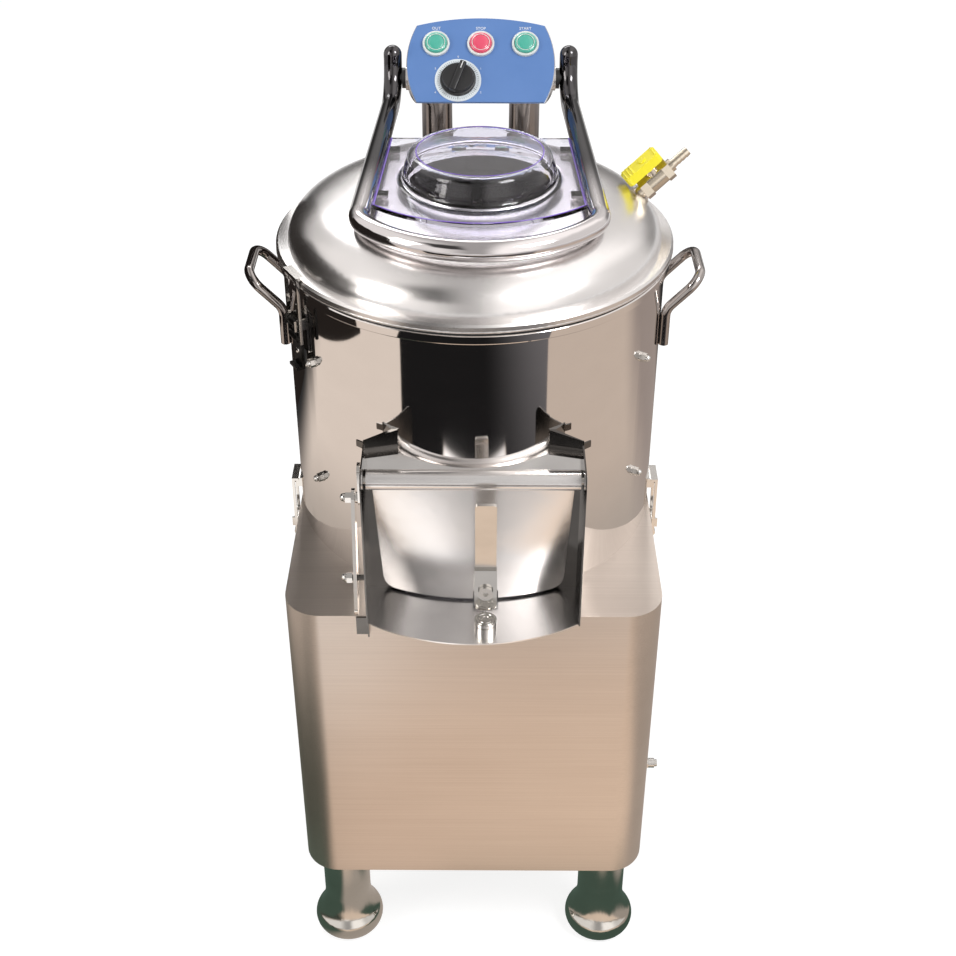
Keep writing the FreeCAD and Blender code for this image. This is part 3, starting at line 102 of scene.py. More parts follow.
class Value:
    """A socket that can be added, subtracted and multiplied."""

    def __init__(self, tree, socket):
        self.tree = tree
        self.socket = socket

    def sum_of(self, operation, first, second):
        """The result of one operation on two values."""
        node = self.tree.nodes.new("ShaderNodeMath")
        node.operation = operation
        connect(self.tree, node.inputs[0], first)
        connect(self.tree, node.inputs[1], second)
        return Value(self.tree, node.outputs[0])

    def __add__(self, other):
        return self.sum_of("ADD", self, other)

    def __sub__(self, other):
        return self.sum_of("SUBTRACT", self, other)

    def __rsub__(self, other):
        return self.sum_of("SUBTRACT", other, self)

    def __mul__(self, other):
        return self.sum_of("MULTIPLY", self, other)

    __radd__ = __add__
    __rmul__ = __mul__


def connect(tree, socket, value):
    """Give a socket a link from a value of the graph, or else a constant."""
    if isinstance(value, Value):
        tree.links.new(value.socket, socket)
    else:
        socket.default_value = value


class Graph:
    """A node tree to which any node can be added with its settings and its sockets."""

    def __init__(self, tree):
        self.tree = tree
        tree.nodes.clear()

    def node(self, kind, settings=None, sockets=None, output=0):
        """Any node, with its settings put in before its sockets."""
        node = self.tree.nodes.new("ShaderNode" + kind)
        for name, setting in (settings or {}).items():
            setattr(node, name, setting)
        for name, value in (sockets or {}).items():
            connect(self.tree, node.inputs[name], value)
        return Value(self.tree, node.outputs[output])

    def axes(self, vector):
        """The three parts of a vector."""
        return [self.node("SeparateXYZ", sockets={0: vector}, output=axis) for axis in "XYZ"]

    def ramp(self, value, start, end, first=0.0, last=1.0):
        """A smooth step from first to last while the value goes from start to end."""
        return self.node("MapRange", {"interpolation_type": "SMOOTHSTEP"},
                         {"Value": value, "From Min": start, "From Max": end,
                          "To Min": first, "To Max": last})

    def band(self, value, start, end, soft):
        """One between start and end, and zero outside, with soft edges."""
        return (self.ramp(value, start - soft, start + soft)
                * self.ramp(value, end - soft, end + soft, 1.0, 0.0))

    def tinted(self, level, tint):
        """A grey level turned into a colour."""
        return self.node("CombineColor",
                         sockets={0: level * tint[0], 1: level * tint[1], 2: level * tint[2]})

    def blend(self, share, first, second):
        """A colour that goes from first to second, each a colour or a value of the graph."""
        ends = [end if isinstance(end, Value) else (*end, 1) for end in (first, second)]
        return self.node("Mix", {"data_type": "RGBA"}, {0: share, 6: ends[0], 7: ends[1]}, output=2)

    def show(self, kind, value):
        """Send a value to the output of the tree."""
        out = self.tree.nodes.new("ShaderNodeOutput" + kind)
        self.tree.links.new(value.socket, out.inputs["Surface"])


print("shader helpers ready")

# %% [markdown]
# ## Light and background
# Polished steel shows its surroundings more than its own colour, so the studio matters as much as the
# metal. The background is plain white for the camera. For reflections the same room has a cream wall on
# the left, a bright one on the right, a dark gap behind the photographer and a dim back wall.

# %% The room around the machine
world = bpy.data.worlds.new("studio")
bpy.context.scene.world = world
world.use_nodes = True
room = Graph(world.node_tree)
camera_ray = room.node("LightPath", output="Is Camera Ray")
mirror_ray = room.node("LightPath", output="Is Glossy Ray")
glass_ray = room.node("LightPath", output="Is Transmission Ray")
room_cream = (1.0, 0.965, 0.945)
room_grey = (0.55, 0.55, 0.55)
side, ahead, up = room.axes(room.node("TexCoord", output="Generated"))
left_wall = room.ramp(side, -0.5, -0.1, 0.55, 0.0)
right_wall = room.ramp(side, 0.02, 0.30, 0.0, 0.90) - room.ramp(side, 0.62, 0.85, 0.0, 0.50)
walls = left_wall + right_wall + 0.48
gap = (room.band(side, -0.53, -0.17, 0.07) * room.ramp(ahead, -0.35, -0.10, 1.0, 0.0)
       * room.ramp(up, 0.48, 0.60))
front_half = walls * (1.0 - gap) + gap * 0.06
back_wall = room.ramp(side, -0.1, 0.5, 0.09, 0.30) + room.ramp(up, 0.15, 0.42, 0.0, 0.58)
back_share = room.ramp(ahead, 0.48, 0.70)
level = front_half * (1.0 - back_share) + back_wall * back_share
mirrored = room.tinted(level, room_cream)
plain = room.blend(camera_ray + glass_ray, room_grey, (1, 1, 1))
seen = room.blend(mirror_ray, plain, mirrored)
backdrop = room.node("Background", sockets={"Color": seen, "Strength": 1.0})
room.show("World", backdrop)
print("room ready")

# %% Soft lamps


def soft_lamp(name, place, aim, size, watts, tint=(1, 1, 1)):
    """A large rectangular lamp that points at its aim."""
    lamp = bpy.data.objects.new(name, bpy.data.lights.new(name, "AREA"))
    bpy.context.scene.collection.objects.link(lamp)
    lamp.data.shape = "RECTANGLE"
    lamp.data.size, lamp.data.size_y = size
    lamp.data.energy = watts
    lamp.data.color = tint
    lamp.location = place
    lamp.rotation_euler = (Vector(aim) - Vector(place)).to_track_quat("-Z", "Y").to_euler()


soft_lamp("key_lamp", (1.5, -1.3, 2.6), (0.05, 0, 0.8), (0.9, 0.9), 38)
soft_lamp("fill_lamp", (-1.9, -1.1, 1.7), (0, 0, 0.6), (0.8, 1.6), 20, (1.0, 0.97, 0.93))
soft_lamp("back_lamp", (-0.4, 2.0, 2.4), (0, 0, 0.8), (1.6, 0.8), 16)
print("lamps: 3")

# %% The floor


def quad(name, centre, size):
    """A flat card that lies level."""
    bm = bmesh.new()
    bmesh.ops.create_grid(bm, x_segments=1, y_segments=1, size=0.5)
    bmesh.ops.transform(bm, verts=bm.verts, matrix=Matrix.Translation(centre) @
                        Matrix.Diagonal((size[0], size[1], 1, 1)))
    mesh = bpy.data.meshes.new(name)
    bm.to_mesh(mesh)
    bm.free()
    thing = bpy.data.objects.new(name, mesh)
    bpy.context.scene.collection.objects.link(thing)
    return thing


def new_paint(name):
    """A material without a main shader, and its graph."""
    paint = bpy.data.materials.new(name)
    paint.use_nodes = True
    return paint, Graph(paint.node_tree)


floor_glow = 1.27
glow_share = 0.64
floor = quad("floor", (0, 0, -0.0006), (16, 16))
floor_paint, paper = new_paint("floor_paint")
seen_ray = (paper.node("LightPath", output="Is Camera Ray")
            + paper.node("LightPath", output="Is Glossy Ray")
            + paper.node("LightPath", output="Is Transmission Ray"))
matt = paper.node("BsdfDiffuse", sockets={"Color": (0.90, 0.90, 0.90, 1)})
glow = paper.node("Emission", sockets={"Color": (1, 1, 1, 1), "Strength": floor_glow})
share = paper.node("Math", {"operation": "MINIMUM"}, {0: seen_ray, 1: 1.0}) * glow_share
mixed = paper.node("MixShader", sockets={0: share, 1: matt, 2: glow})
paper.show("Material", mixed)
floor.data.materials.append(floor_paint)
print("floor ready")

# %% [markdown]
# ## The card on the floor
# The upright steel mirrors the floor around the machine. A large painted card lies there, seen by
# reflections alone: beige all round, warm close in front of the cabinet, green-black under the feet, pale
# where the door looks, and a black wedge beyond it that gives the barrel its dark middle.

# %% Paint the card
card = quad("floor_card", (0, 0, 0.003), (9, 9))
card_paint, ground = new_paint("floor_card_paint")
across, along = ground.axes(ground.node("TexCoord", output="Object"))[:2]
beige_left, beige_right = (0.84, 0.73, 0.645), (0.64, 0.53, 0.45)
dim_beige, brown, black = (0.48, 0.42, 0.37), (0.36, 0.30, 0.27), (0.03, 0.03, 0.03)
colour = ground.blend(ground.ramp(across, -0.9, 0.9), beige_left, beige_right)
near = ground.node("VectorMath", {"operation": "LENGTH"},
                   {0: ground.node("TexCoord", output="Object")}, output=1)
colour = ground.blend(ground.ramp(near, 0.75, 1.15), dim_beige, colour)
colour = ground.blend(ground.ramp(along + across * 0.2, 0.4, 0.9), colour, brown)
colour = ground.blend(ground.ramp(along - across * 0.35, 0.75, 1.1), colour, black)
colour = ground.blend(ground.ramp(near, 2.1, 2.6), colour, (0.72, 0.69, 0.68))
print("beige ground ready")

# %% Warm front, dark edge and dark feet
warm_left, warm_right = (0.86, 0.68, 0.55), (1.02, 0.82, 0.66)
edge_green, foot_green = (0.055, 0.065, 0.050), (0.075, 0.115, 0.090)
warm = ground.blend(ground.ramp(across, -0.4, 0.4), warm_left, warm_right)
colour = ground.blend(ground.band(across, -0.46, 0.46, 0.06) * ground.band(along, -0.83, -0.32, 0.04),
                      colour, warm)
shade = ground.ramp(across - along * 0.2, -0.20, -0.10, 1.0, 0.0) * ground.ramp(across, -0.75, -0.60)
colour = ground.blend(shade * ground.band(along, -0.62, 0.40, 0.05), colour, edge_green)
pool = ground.band(across, -0.34, 0.25, 0.02) * ground.band(along, -0.325, 0.30, 0.02)
colour = ground.blend(pool * (1.0 - ground.band(across, -0.175, -0.04, 0.02)), colour, foot_green)
print("front and feet ready")

# %% Pale zone and bright patch for the door
pale = ground.ramp(across, -0.16, -0.06, 0.90, 0.0) + ground.ramp(across, 0.10, 0.30, 0.0, 0.55) + 0.62
colour = ground.blend(ground.band(across, -0.36, 0.36, 0.03) * ground.band(along, -1.19, -0.83, 0.02),
                      colour, ground.tinted(pale, (1.0, 0.97, 0.96)))
colour = ground.blend(ground.band(across, -0.36, -0.13, 0.04) * ground.band(along, -0.85, -0.66, 0.03),
                      colour, (1.30, 1.25, 1.20))
print("door zone ready")

# %% Black wedge for the barrel
fan = ground.node("Math", {"operation": "ABSOLUTE"}, {0: across}) + along * 0.92 + 0.04
far = ground.ramp(near, 1.13, 1.16)
wedge = ground.ramp(fan, -0.010, 0.010, 1.0, 0.0) * far * ground.ramp(along, -2.1, -1.8)
wedge_shade = ground.tinted(ground.ramp(across, 0.12, 1.2, 0.012, 0.17), (1.0, 0.95, 0.98))
colour = ground.blend(wedge * ground.ramp(along, -1.20, -1.17, 1.0, 0.0), colour, wedge_shade)
beside = ground.ramp(ground.node("Math", {"operation": "ABSOLUTE"}, {0: across}), 0.36, 0.38)
colour = ground.blend(wedge * beside, colour, wedge_shade)
shine = ground.node("Emission", sockets={"Color": colour, "Strength": 1.0})
ground.show("Material", shine)
card.data.materials.append(card_paint)


def only_mirrored(thing):
    """Let reflections alone see a card."""
    for kind in ("camera", "diffuse", "transmission", "volume_scatter", "shadow"):
        setattr(thing, "visible_" + kind, False)


only_mirrored(card)
print("card ready")

# %% Hang black flags beside the barrel, seen by reflections alone
flag_paint, cloth = new_paint("dark_reflection_flag_paint")
dim = cloth.node("Emission", sockets={"Color": (0.02, 0.016, 0.014, 1), "Strength": 1.0})
cloth.show("Material", dim)
# Each flag is a dark sheet that casts no shadow: it paints dark reflections on the barrel and the
# cabinet's top.
for name, place, size, turn in (("side_flag", (-350, -70, 295), (0.34, 0.31), 90),
                                ("rear_flag", (-285, 95, 215), (0.175, 0.35), 0)):
    flag = quad(name, (0, 0, 0), size)
    flag.matrix_world = (Matrix.Translation(at(*place))
                         @ Matrix.Rotation(math.radians(turn), 4, "Z")
                         @ Matrix.Rotation(math.radians(90), 4, "X"))
    flag.data.materials.append(flag_paint)
    only_mirrored(flag)
print("flags: 2")

# %% [markdown]
# ## Finishes
# Every surface gets its own grain: rolled sheet has fine lines in one direction, spun and polished metal
# has faint smears, plastics have a light grain, and the grinding surfaces a coarse grit.

# %% Start a finish


class Finish(Graph):
    """A material with one main shader, whose constants are given by name."""

    def __init__(self, name, constants):
        self.material = bpy.data.materials.new(name)
        self.material.use_nodes = True
        super().__init__(self.material.node_tree)
        self.shader = self.tree.nodes.new("ShaderNodeBsdfPrincipled")
        self.show("Material", Value(self.tree, self.shader.outputs[0]))
        for socket, value in constants.items():
            self.shader.inputs[socket].default_value = value

    def place(self, stretch=(1, 1, 1)):
        """Object coordinates in metres, stretched."""
        return self.node("Mapping",
                         sockets={0: self.node("TexCoord", output="Object"), "Scale": stretch})

    def noise(self, stretch, scale, detail=3.0, rough=0.5):
        """Cloudy variation between zero and one."""
        return self.node("TexNoise", sockets={"Vector": self.place(stretch), "Scale": scale,
                                              "Detail": detail, "Roughness": rough})

    def set(self, socket, value):
        """Give a socket of the main shader a value of the graph."""
        connect(self.tree, self.shader.inputs[socket], value)

    def bump(self, height, depth):
        """Raise the surface by a height that is never more than depth, in metres."""
        self.set("Normal", self.node("Bump", sockets={"Strength": 1.0, "Distance": depth,
                                                      "Height": height}))


finishes = {}


def brushed_steel(name, light, dark, roughness, spread, along, depth):
    """Rolled sheet: fine lines along one axis, broad smears, and roughness that follows both."""
    finish = Finish(name, {"Metallic": 1.0})
    fine = [900.0, 900.0, 900.0]
    fine["XYZ".index(along)] = 5.0
    broad = [26.0, 26.0, 26.0]
    broad["XYZ".index(along)] = 2.0
    lines = finish.noise(tuple(fine), 1.0, 2.0)
    streaks = finish.noise(tuple(broad), 1.0, 5.0, 0.6)
    smears = finish.noise((1, 1, 1), 4.0, 3.0)
    finish.set("Base Color", finish.blend(smears * 0.45 + streaks * 0.35 + lines * 0.45 - 0.12,
                                          dark, light))
    finish.set("Roughness", lines * spread + smears * spread + (roughness - spread))
    finish.bump(lines, depth)
    finishes[name] = finish.material


def polished_steel(name, light, dark, roughness, spread, waviness=0.0):
    """Mirror polish: a clean colour, faint smears in the roughness and a barely uneven surface."""
    finish = Finish(name, {"Metallic": 1.0})
    smears = finish.noise((1, 1, 1.6), 26.0, 5.0)
    finish.set("Base Color", finish.blend(smears, dark, light))
    finish.set("Roughness", smears * spread + (roughness - spread / 2))
    ripple = finish.noise((1, 1, 1), 14.0, 1.0)
    finish.bump(ripple, waviness)
    finishes[name] = finish.material
    return finish


def plastic(name, light, dark, roughness, grain=700.0, depth=0.00005, extra=None):
    """Moulded plastic: a fine grain and a slight change of colour."""
    finish = Finish(name, {"Specular IOR Level": 0.5, **(extra or {})})
    grains = finish.noise((1, 1, 1), grain, 2.0)
    smears = finish.noise((1, 1, 1), 30.0, 3.0)
    finish.set("Base Color", finish.blend(smears, dark, light))
    finish.set("Roughness", smears * 0.12 + (roughness - 0.06))
    finish.bump(grains, depth)
    finishes[name] = finish.material


brushed_steel("box_sheet", (0.80, 0.72, 0.65), (0.52, 0.45, 0.40), 0.34, 0.12, "X", 0.00004)
brushed_steel("turned_steel", (0.62, 0.62, 0.62), (0.46, 0.46, 0.46), 0.34, 0.10, "X", 0.00002)
polished_steel("lid_sheet", (0.82, 0.80, 0.79), (0.74, 0.72, 0.71), 0.25, 0.06)
polished_steel("mirror_sheet", (0.82, 0.79, 0.77), (0.77, 0.74, 0.72), 0.05, 0.03, 0.00006)
polished_steel("chute_sheet", (0.92, 0.90, 0.89), (0.84, 0.82, 0.81), 0.25, 0.08, 0.0004)
polished_steel("hood_sheet", (0.92, 0.90, 0.88), (0.80, 0.78, 0.76), 0.15, 0.08, 0.004)
# The chute's side plates get a near-black colour: painted dark reflection, standing in for the dark gap
# beside the door.
polished_steel("painted_dark_side_sheet", (0.17, 0.16, 0.15), (0.10, 0.095, 0.09), 0.10, 0.06, 0.0006)
print("steel sheets:", len(finishes))

# %% Metal of tubes, rods and small parts
polished_steel("handle_metal", (0.46, 0.43, 0.41), (0.34, 0.31, 0.30), 0.09, 0.05)
polished_steel("rod_metal", (0.76, 0.74, 0.71), (0.62, 0.60, 0.57), 0.11, 0.05)
bow = polished_steel("frame_metal", (0.66, 0.64, 0.63), (0.56, 0.54, 0.53), 0.09, 0.05)
# The arms behind the bow are painted near black: painted dark reflection on the polished tube.
bright_bow, arms_painted_dark = (0.70, 0.67, 0.67), (0.085, 0.082, 0.085)
painted_dark_arm_share = bow.ramp(bow.axes(bow.place())[1], -0.07, 0.03)
bow.set("Base Color", bow.blend(painted_dark_arm_share, bright_bow, arms_painted_dark))
polished_steel("post_metal", (0.34, 0.31, 0.30), (0.22, 0.20, 0.19), 0.16, 0.06)
polished_steel("foot_metal", (0.70, 0.68, 0.64), (0.56, 0.54, 0.50), 0.12, 0.06, 0.0003)
polished_steel("fastener_metal", (0.78, 0.76, 0.73), (0.60, 0.58, 0.55), 0.20, 0.10)
polished_steel("nickel", (0.78, 0.70, 0.58), (0.62, 0.55, 0.44), 0.26, 0.12)
polished_steel("blackened_steel", (0.050, 0.048, 0.046), (0.022, 0.021, 0.020), 0.34, 0.12)
print("metals so far:", len(finishes))

# %% Plastics, rubber, paint and print
plastic("panel_film", (0.125, 0.245, 0.540), (0.095, 0.205, 0.480), 0.42, 500.0, 0.00002)
plastic("black_moulding", (0.020, 0.020, 0.021), (0.012, 0.012, 0.013), 0.38)
plastic("bezel_white", (0.80, 0.82, 0.80), (0.72, 0.74, 0.72), 0.22)
plastic("dial_white", (0.74, 0.80, 0.84), (0.68, 0.74, 0.78), 0.40)
plastic("lens_green", (0.10, 0.50, 0.38), (0.06, 0.40, 0.31), 0.14, 300.0, 0.00001, {"Coat Weight": 0.5})
plastic("lens_red", (0.86, 0.11, 0.20), (0.72, 0.07, 0.13), 0.14, 300.0, 0.00001, {"Coat Weight": 0.5})
plastic("lever_yellow", (0.95, 0.86, 0.03), (0.90, 0.76, 0.02), 0.30)
plastic("edge_violet", (0.20, 0.09, 0.62), (0.14, 0.06, 0.50), 0.20)
plastic("rubber_black", (0.022, 0.022, 0.022), (0.012, 0.012, 0.012), 0.75, 400.0, 0.0002)
plastic("printed_black", (0.03, 0.03, 0.03), (0.02, 0.02, 0.02), 0.55)
plastic("printed_white", (0.85, 0.85, 0.85), (0.78, 0.78, 0.78), 0.55)
plastic("motor_paint", (0.10, 0.13, 0.16), (0.07, 0.09, 0.12), 0.45, 300.0, 0.0001)
print("finishes:", len(finishes))

# %% Finishes for castings, grit and the clear cover
casting = Finish("casting", {"Metallic": 0.85})
lumps = casting.noise((1, 1, 1), 220.0, 4.0)
casting.set("Base Color", casting.blend(lumps, (0.16, 0.16, 0.165), (0.27, 0.27, 0.27)))
casting.set("Roughness", lumps * 0.3 + 0.45)
casting.bump(lumps, 0.0004)
finishes["casting"] = casting.material

grit = Finish("grit", {"Metallic": 0.0})
grains = grit.node("TexVoronoi", sockets={"Vector": grit.place(), "Scale": 420.0})
specks = grit.noise((1, 1, 1), 600.0, 2.0)
grit.set("Base Color", grit.blend(specks, (0.03, 0.028, 0.026), (0.15, 0.14, 0.13)))
grit.set("Roughness", specks * 0.4 + 0.55)
grit.bump(grains, 0.0012)
finishes["grit"] = grit.material

clear = Finish("clear_moulding", {"Transmission Weight": 1.0, "IOR": 1.47})
haze = clear.noise((1, 1, 1), 40.0, 3.0)
clear.set("Base Color", clear.blend(haze, (0.95, 0.94, 0.99), (0.90, 0.89, 0.97)))
clear.set("Roughness", haze * 0.02)
clear.bump(haze, 0.00005)
finishes["clear_moulding"] = clear.material
print("finishes:", len(finishes))

# %% [markdown]
# ## Smooth skins
# The solids arrive as loose triangles. A polished surface needs normals that run smoothly round every
# curve and break at every edge. A skin is a merged copy of the solid with its sharp edges marked, and
# weighted normals keep the flat faces flat.

# %% Give each solid its finish
finish_of = {
    "box_sheet": ["base_cabinet", "base_plate", "rear_cover"],
    "mirror_sheet": ["barrel", "barrel_floor"],
    "lid_sheet": ["lid", "control_box"],
    "chute_sheet": ["chute_floor", "door_panel"],
    "hood_sheet": ["chute_hood"],
    # the side plates' near-black colour is painted dark reflection
    "painted_dark_side_sheet": ["chute_sides"],
    "handle_metal": ["barrel_handles"],
    "rod_metal": ["door_crank", "stay_bar", "door_lever", "latch_plates"],
    "frame_metal": ["cover_frame"],
    "post_metal": ["tower_posts"],
    "foot_metal": ["legs"],
    "fastener_metal": ["acorn_nuts", "cabinet_screws", "cover_screws", "lever_screw",
                       "terminal_stud", "catch_roller"],
    "turned_steel": ["drive_shaft", "bearings", "drain_pipe"],
    "nickel": ["valve_body", "hose_barb"],
    "panel_film": ["control_panel"],
    "black_moulding": ["timer_knob", "pivot_bolts", "switch_bodies", "cable_gland"],
    "bezel_white": ["button_bezels"],
    "dial_white": ["timer_dial"],
    "lens_green": ["button_left", "button_right"],
    "lens_red": ["button_middle"],
    "lever_yellow": ["valve_lever"],
    "rubber_black": ["foot_soles", "lid_gasket", "drive_belt"],
    "motor_paint": ["motor_body", "motor_bracket"],
    "casting": ["bearing_housing", "large_pulley", "motor_rotor"],
    "grit": ["abrasive_disc", "abrasive_liners"],
    "clear_moulding": ["clear_cover"],
}
finish_for = {node: name for name, group in finish_of.items() for node in group}
for node in nodes:
    if node not in finish_for and "latch_" in node:
        is_black = "lid_latch" in node and "lever" in node
        finish_for[node] = "blackened_steel" if is_black else "rod_metal"
for node, thing in nodes.items():
    thing.data.materials.clear()
    thing.data.materials.append(finishes[finish_for[node]])
print("nodes with a finish:", len(finish_for))

# %% Make the skins
bodies = frame["record"]["behaviour"]["bodies"]
body_of = {node: body for body, group in bodies.items() for node in group}
sharp_turn = 32.0  # in degrees, from which an edge is drawn sharp


def finish_mesh(bm, name):
    """Close a bmesh into an object whose curves are smooth and whose edges are sharp."""
    for face in bm.faces:
        face.smooth = True
    for edge in bm.edges:
        edge.smooth = (len(edge.link_faces) == 2
                       and edge.calc_face_angle(0.0) < math.radians(sharp_turn))
    mesh = bpy.data.meshes.new(name)
    bm.to_mesh(mesh)
    bm.free()
    thing = bpy.data.objects.new(name, mesh)
    bpy.context.scene.collection.objects.link(thing)
    return thing


def skin(node):
    """A merged copy of a solid, which rides on its body and takes its place in the picture."""
    bm = bmesh.new()
    bm.from_mesh(nodes[node].data)
    bmesh.ops.remove_doubles(bm, verts=bm.verts, dist=0.000002)
    thing = finish_mesh(bm, node + "_skin")
    weigh = thing.modifiers.new("weighted", "WEIGHTED_NORMAL")
    weigh.keep_sharp = True
    weigh.weight = 100
    thing.data.materials.append(finishes[finish_for[node]])
    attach(thing, body_of[node])
    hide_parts(node)
    return thing


plain_nodes = {"foot_soles", "drive_belt", "lid_gasket", "timer_dial", "timer_knob",
               "button_left", "button_middle", "button_right", "button_bezels"}
skins = {node: skin(node) for node in nodes if node not in plain_nodes}
print("skins:", len(skins), "triangles:", sum(len(s.data.polygons) for s in skins.values()))

# %% [markdown]
# ## The control panel
# Caps, rings and the knob are turned parts, so each starts as a half section that is spun once round its
# axis. They are drawn flat at the origin and then laid on the tilted panel.

# %% Tools for turned and boxy pieces
panel_foot = Matrix.Translation(at(5, 205, 368))
panel_turn = Matrix.Rotation(math.radians(42), 4, "X")


def on_panel(x, along, out=0.0):
    """A placing on the panel, in millimetres across it, up it and out of it."""
    return panel_foot @ panel_turn @ Matrix.Translation(Vector((x, along, out)) / 1000)


def lathe(profile, steps=64, closed=False):
    """Spin a half section of (radius, height) points, in millimetres, into a closed solid."""
    bm = bmesh.new()
    corners = [bm.verts.new((radius / 1000, 0, height / 1000)) for radius, height in profile]
    pairs = list(zip(corners, corners[1:])) + ([(corners[-1], corners[0])] if closed else [])
    lines = [bm.edges.new(pair) for pair in pairs]
    bmesh.ops.spin(bm, geom=corners + lines, cent=(0, 0, 0), axis=(0, 0, 1), dvec=(0, 0, 0),
                   angle=math.tau, steps=steps, use_merge=True, use_duplicate=False)
    bmesh.ops.remove_doubles(bm, verts=bm.verts, dist=0.000001)
    bmesh.ops.recalc_face_normals(bm, faces=bm.faces)
    return bm


def brick(size, place=(0, 0, 0), bevel=0.0, turn=0.0, segments=3):
    """A block in millimetres, turned about Z, with rounded edges."""
    bm = bmesh.new()
    bmesh.ops.create_cube(bm, size=0.001)
    bmesh.ops.transform(bm, verts=bm.verts, matrix=Matrix.Diagonal((*size, 1)))
    if bevel:
        bmesh.ops.bevel(bm, geom=bm.edges[:] + bm.verts[:], offset=bevel / 1000, segments=segments,
                        affect="EDGES", profile=0.5, material=-1)
    placing = Matrix.Rotation(math.radians(turn), 4, "Z") @ Matrix.Translation(Vector(place) / 1000)
    bmesh.ops.transform(bm, verts=bm.verts, matrix=placing)
    return bm


def joined(*parts):
    """Put several bmeshes, each with its own placing, into one."""
    whole = bmesh.new()
    for part, placing in parts:
        bmesh.ops.transform(part, verts=part.verts, matrix=placing)
        mesh = bpy.data.meshes.new("part")
        part.to_mesh(mesh)
        part.free()
        whole.from_mesh(mesh)
        bpy.data.meshes.remove(mesh)
    return whole


def piece(name, bm, finish, body, hides=()):
    """A new piece with its finish, riding on a body, that may take the place of solids."""
    thing = finish_mesh(bm, name)
    thing.data.materials.append(finishes[finish])
    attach(thing, body)
    if hides:
        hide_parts(*hides)


print("tools ready")

# %% Push buttons in their rings
button_row = 69.0
button_pitch = 49.0
cap_section = [(0, -8), (12.0, -8), (12.0, 4.5), (11.8, 5.2), (11.2, 5.8), (10.3, 6.1),
               (9.7, 5.9), (9.3, 5.3), (8.8, 5.3), (8.4, 5.8), (7.4, 6.2), (4.0, 6.5), (0, 6.5)]
stem_section = [(0, -24), (4, -24), (4, -8), (0, -8)]
line_section = [(9.2, 5.2), (9.8, 5.2), (9.8, 6.1), (9.5, 6.25), (9.2, 6.1)]
ring_section = [(12.2, -16), (13.1, -16), (13.1, 0), (14.9, 0), (15.0, 0.5), (15.0, 2.6),
                (14.8, 3.4), (14.2, 3.9), (13.4, 4.0), (12.8, 3.8), (12.2, 3.3)]
buttons = (("left", -1, "lens_green"), ("middle", 0, "lens_red"), ("right", 1, "lens_green"))
for name, place, finish in buttons:
    button = "button_" + name
    seat = on_panel(place * button_pitch, button_row)
    cap = joined((lathe(cap_section), seat), (lathe(stem_section, 24), seat))
    piece("button_cap_" + name, cap, finish, button, [button])
    line = joined((lathe(line_section, closed=True), seat))
    piece("button_line_" + name, line, "bezel_white", button)
rings = joined(*[(lathe(ring_section, closed=True), on_panel(place * button_pitch, button_row))
                 for name, place, finish in buttons])
piece("button_rings", rings, "bezel_white", "machine", ["button_bezels"])
print("buttons: 3")

# %% Timer knob
timer = (-24.7, 25.5)
pointing = Matrix.Rotation(math.radians(-20), 4, "Z")
skirt = lathe([(0, 1.3), (19.2, 1.3), (19.5, 1.6), (19.5, 4.0), (19.0, 4.7), (17.6, 5.1),
               (16.9, 8.4), (16.2, 9.0), (0, 9.0)])
stem = lathe([(0, -10), (3, -10), (3, 1.3), (0, 1.3)], 24)
grip = brick((7.4, 36.0, 7.5), (0, 0, 10.2), 1.4)
knob = joined((skirt, on_panel(*timer)), (stem, on_panel(*timer)),
              (grip, on_panel(*timer) @ pointing))
piece("timer_grip", knob, "black_moulding", "timer", ["timer_knob"])
mark = brick((1.0, 8.0, 0.3), (0, 12.5, 14.0), 0.08, segments=1)
piece("timer_mark", joined((mark, on_panel(*timer) @ pointing)), "printed_white", "timer")
print("timer knob ready")

# %% Dial ticks and print


def word(text, size, placing):
    """A line of plain raised print as a mesh, centred on its place."""
    curve = bpy.data.curves.new(text, "FONT")
    curve.body = text
    curve.size = size / 1000
    curve.align_x = "CENTER"
    curve.align_y = "CENTER"
    curve.extrude = 0.00006
    maker = bpy.data.objects.new(text, curve)
    bpy.context.scene.collection.objects.link(maker)
    shaped = maker.evaluated_get(bpy.context.evaluated_depsgraph_get())
    mesh = bpy.data.meshes.new_from_object(shaped)
    bpy.data.objects.remove(maker)
    bm = bmesh.new()
    bm.from_mesh(mesh)
    bpy.data.meshes.remove(mesh)
    bmesh.ops.remove_doubles(bm, verts=bm.verts, dist=0.0000001)
    return bm, placing


dial_edge = 23.2
ticks = []
for step in range(60):
    width, length, inset = (0.55, 3.4, 1.7) if step % 10 == 0 else (0.35, 2.0, 1.0)
    tick = brick((width, length, 0.1), (0, dial_edge - inset, 1.04), turn=-6 * step)
    ticks.append((tick, on_panel(*timer)))
piece("timer_ticks", joined(*ticks), "printed_black", "machine")
word_row, word_size, number_circle, number_size, print_lift = 88.5, 4.6, 28.6, 3.4, 0.05
words = (("STOP", 0), ("START", button_pitch), ("OUT", -button_pitch))
print_parts = [word(text, word_size, on_panel(x, word_row, print_lift)) for text, x in words]
for step in range(6):
    swing = math.radians(60 * step)
    spot = on_panel(timer[0] + number_circle * math.sin(swing),
                    timer[1] + number_circle * math.cos(swing), print_lift)
    print_parts.append(word(str(step), number_size, spot))
piece("panel_print", joined(*print_parts), "printed_white", "machine")
print("ticks and print ready")

# %% [markdown]
# ## Small metal and moulded details
# The lid's edge is rolled over a wire, and the water tap's wing has ribs for the fingers. The latch levers
# carry rivets, and the two at the cabinet end in a ball knob that the thumb pushes down.

# %% Rolled edge of the lid
hem_radius, hem_height, wire_radius = 195.4, 304.2, 1.8
turns = [math.radians(30 * i) for i in range(12)]
hem = [(hem_radius + wire_radius * math.cos(turn), hem_height + wire_radius * math.sin(turn))
       for turn in turns]
piece("lid_hem", joined((lathe(hem, 160, closed=True), Matrix.Translation(home))), "lid_sheet",
      "machine")
print("hem ready")

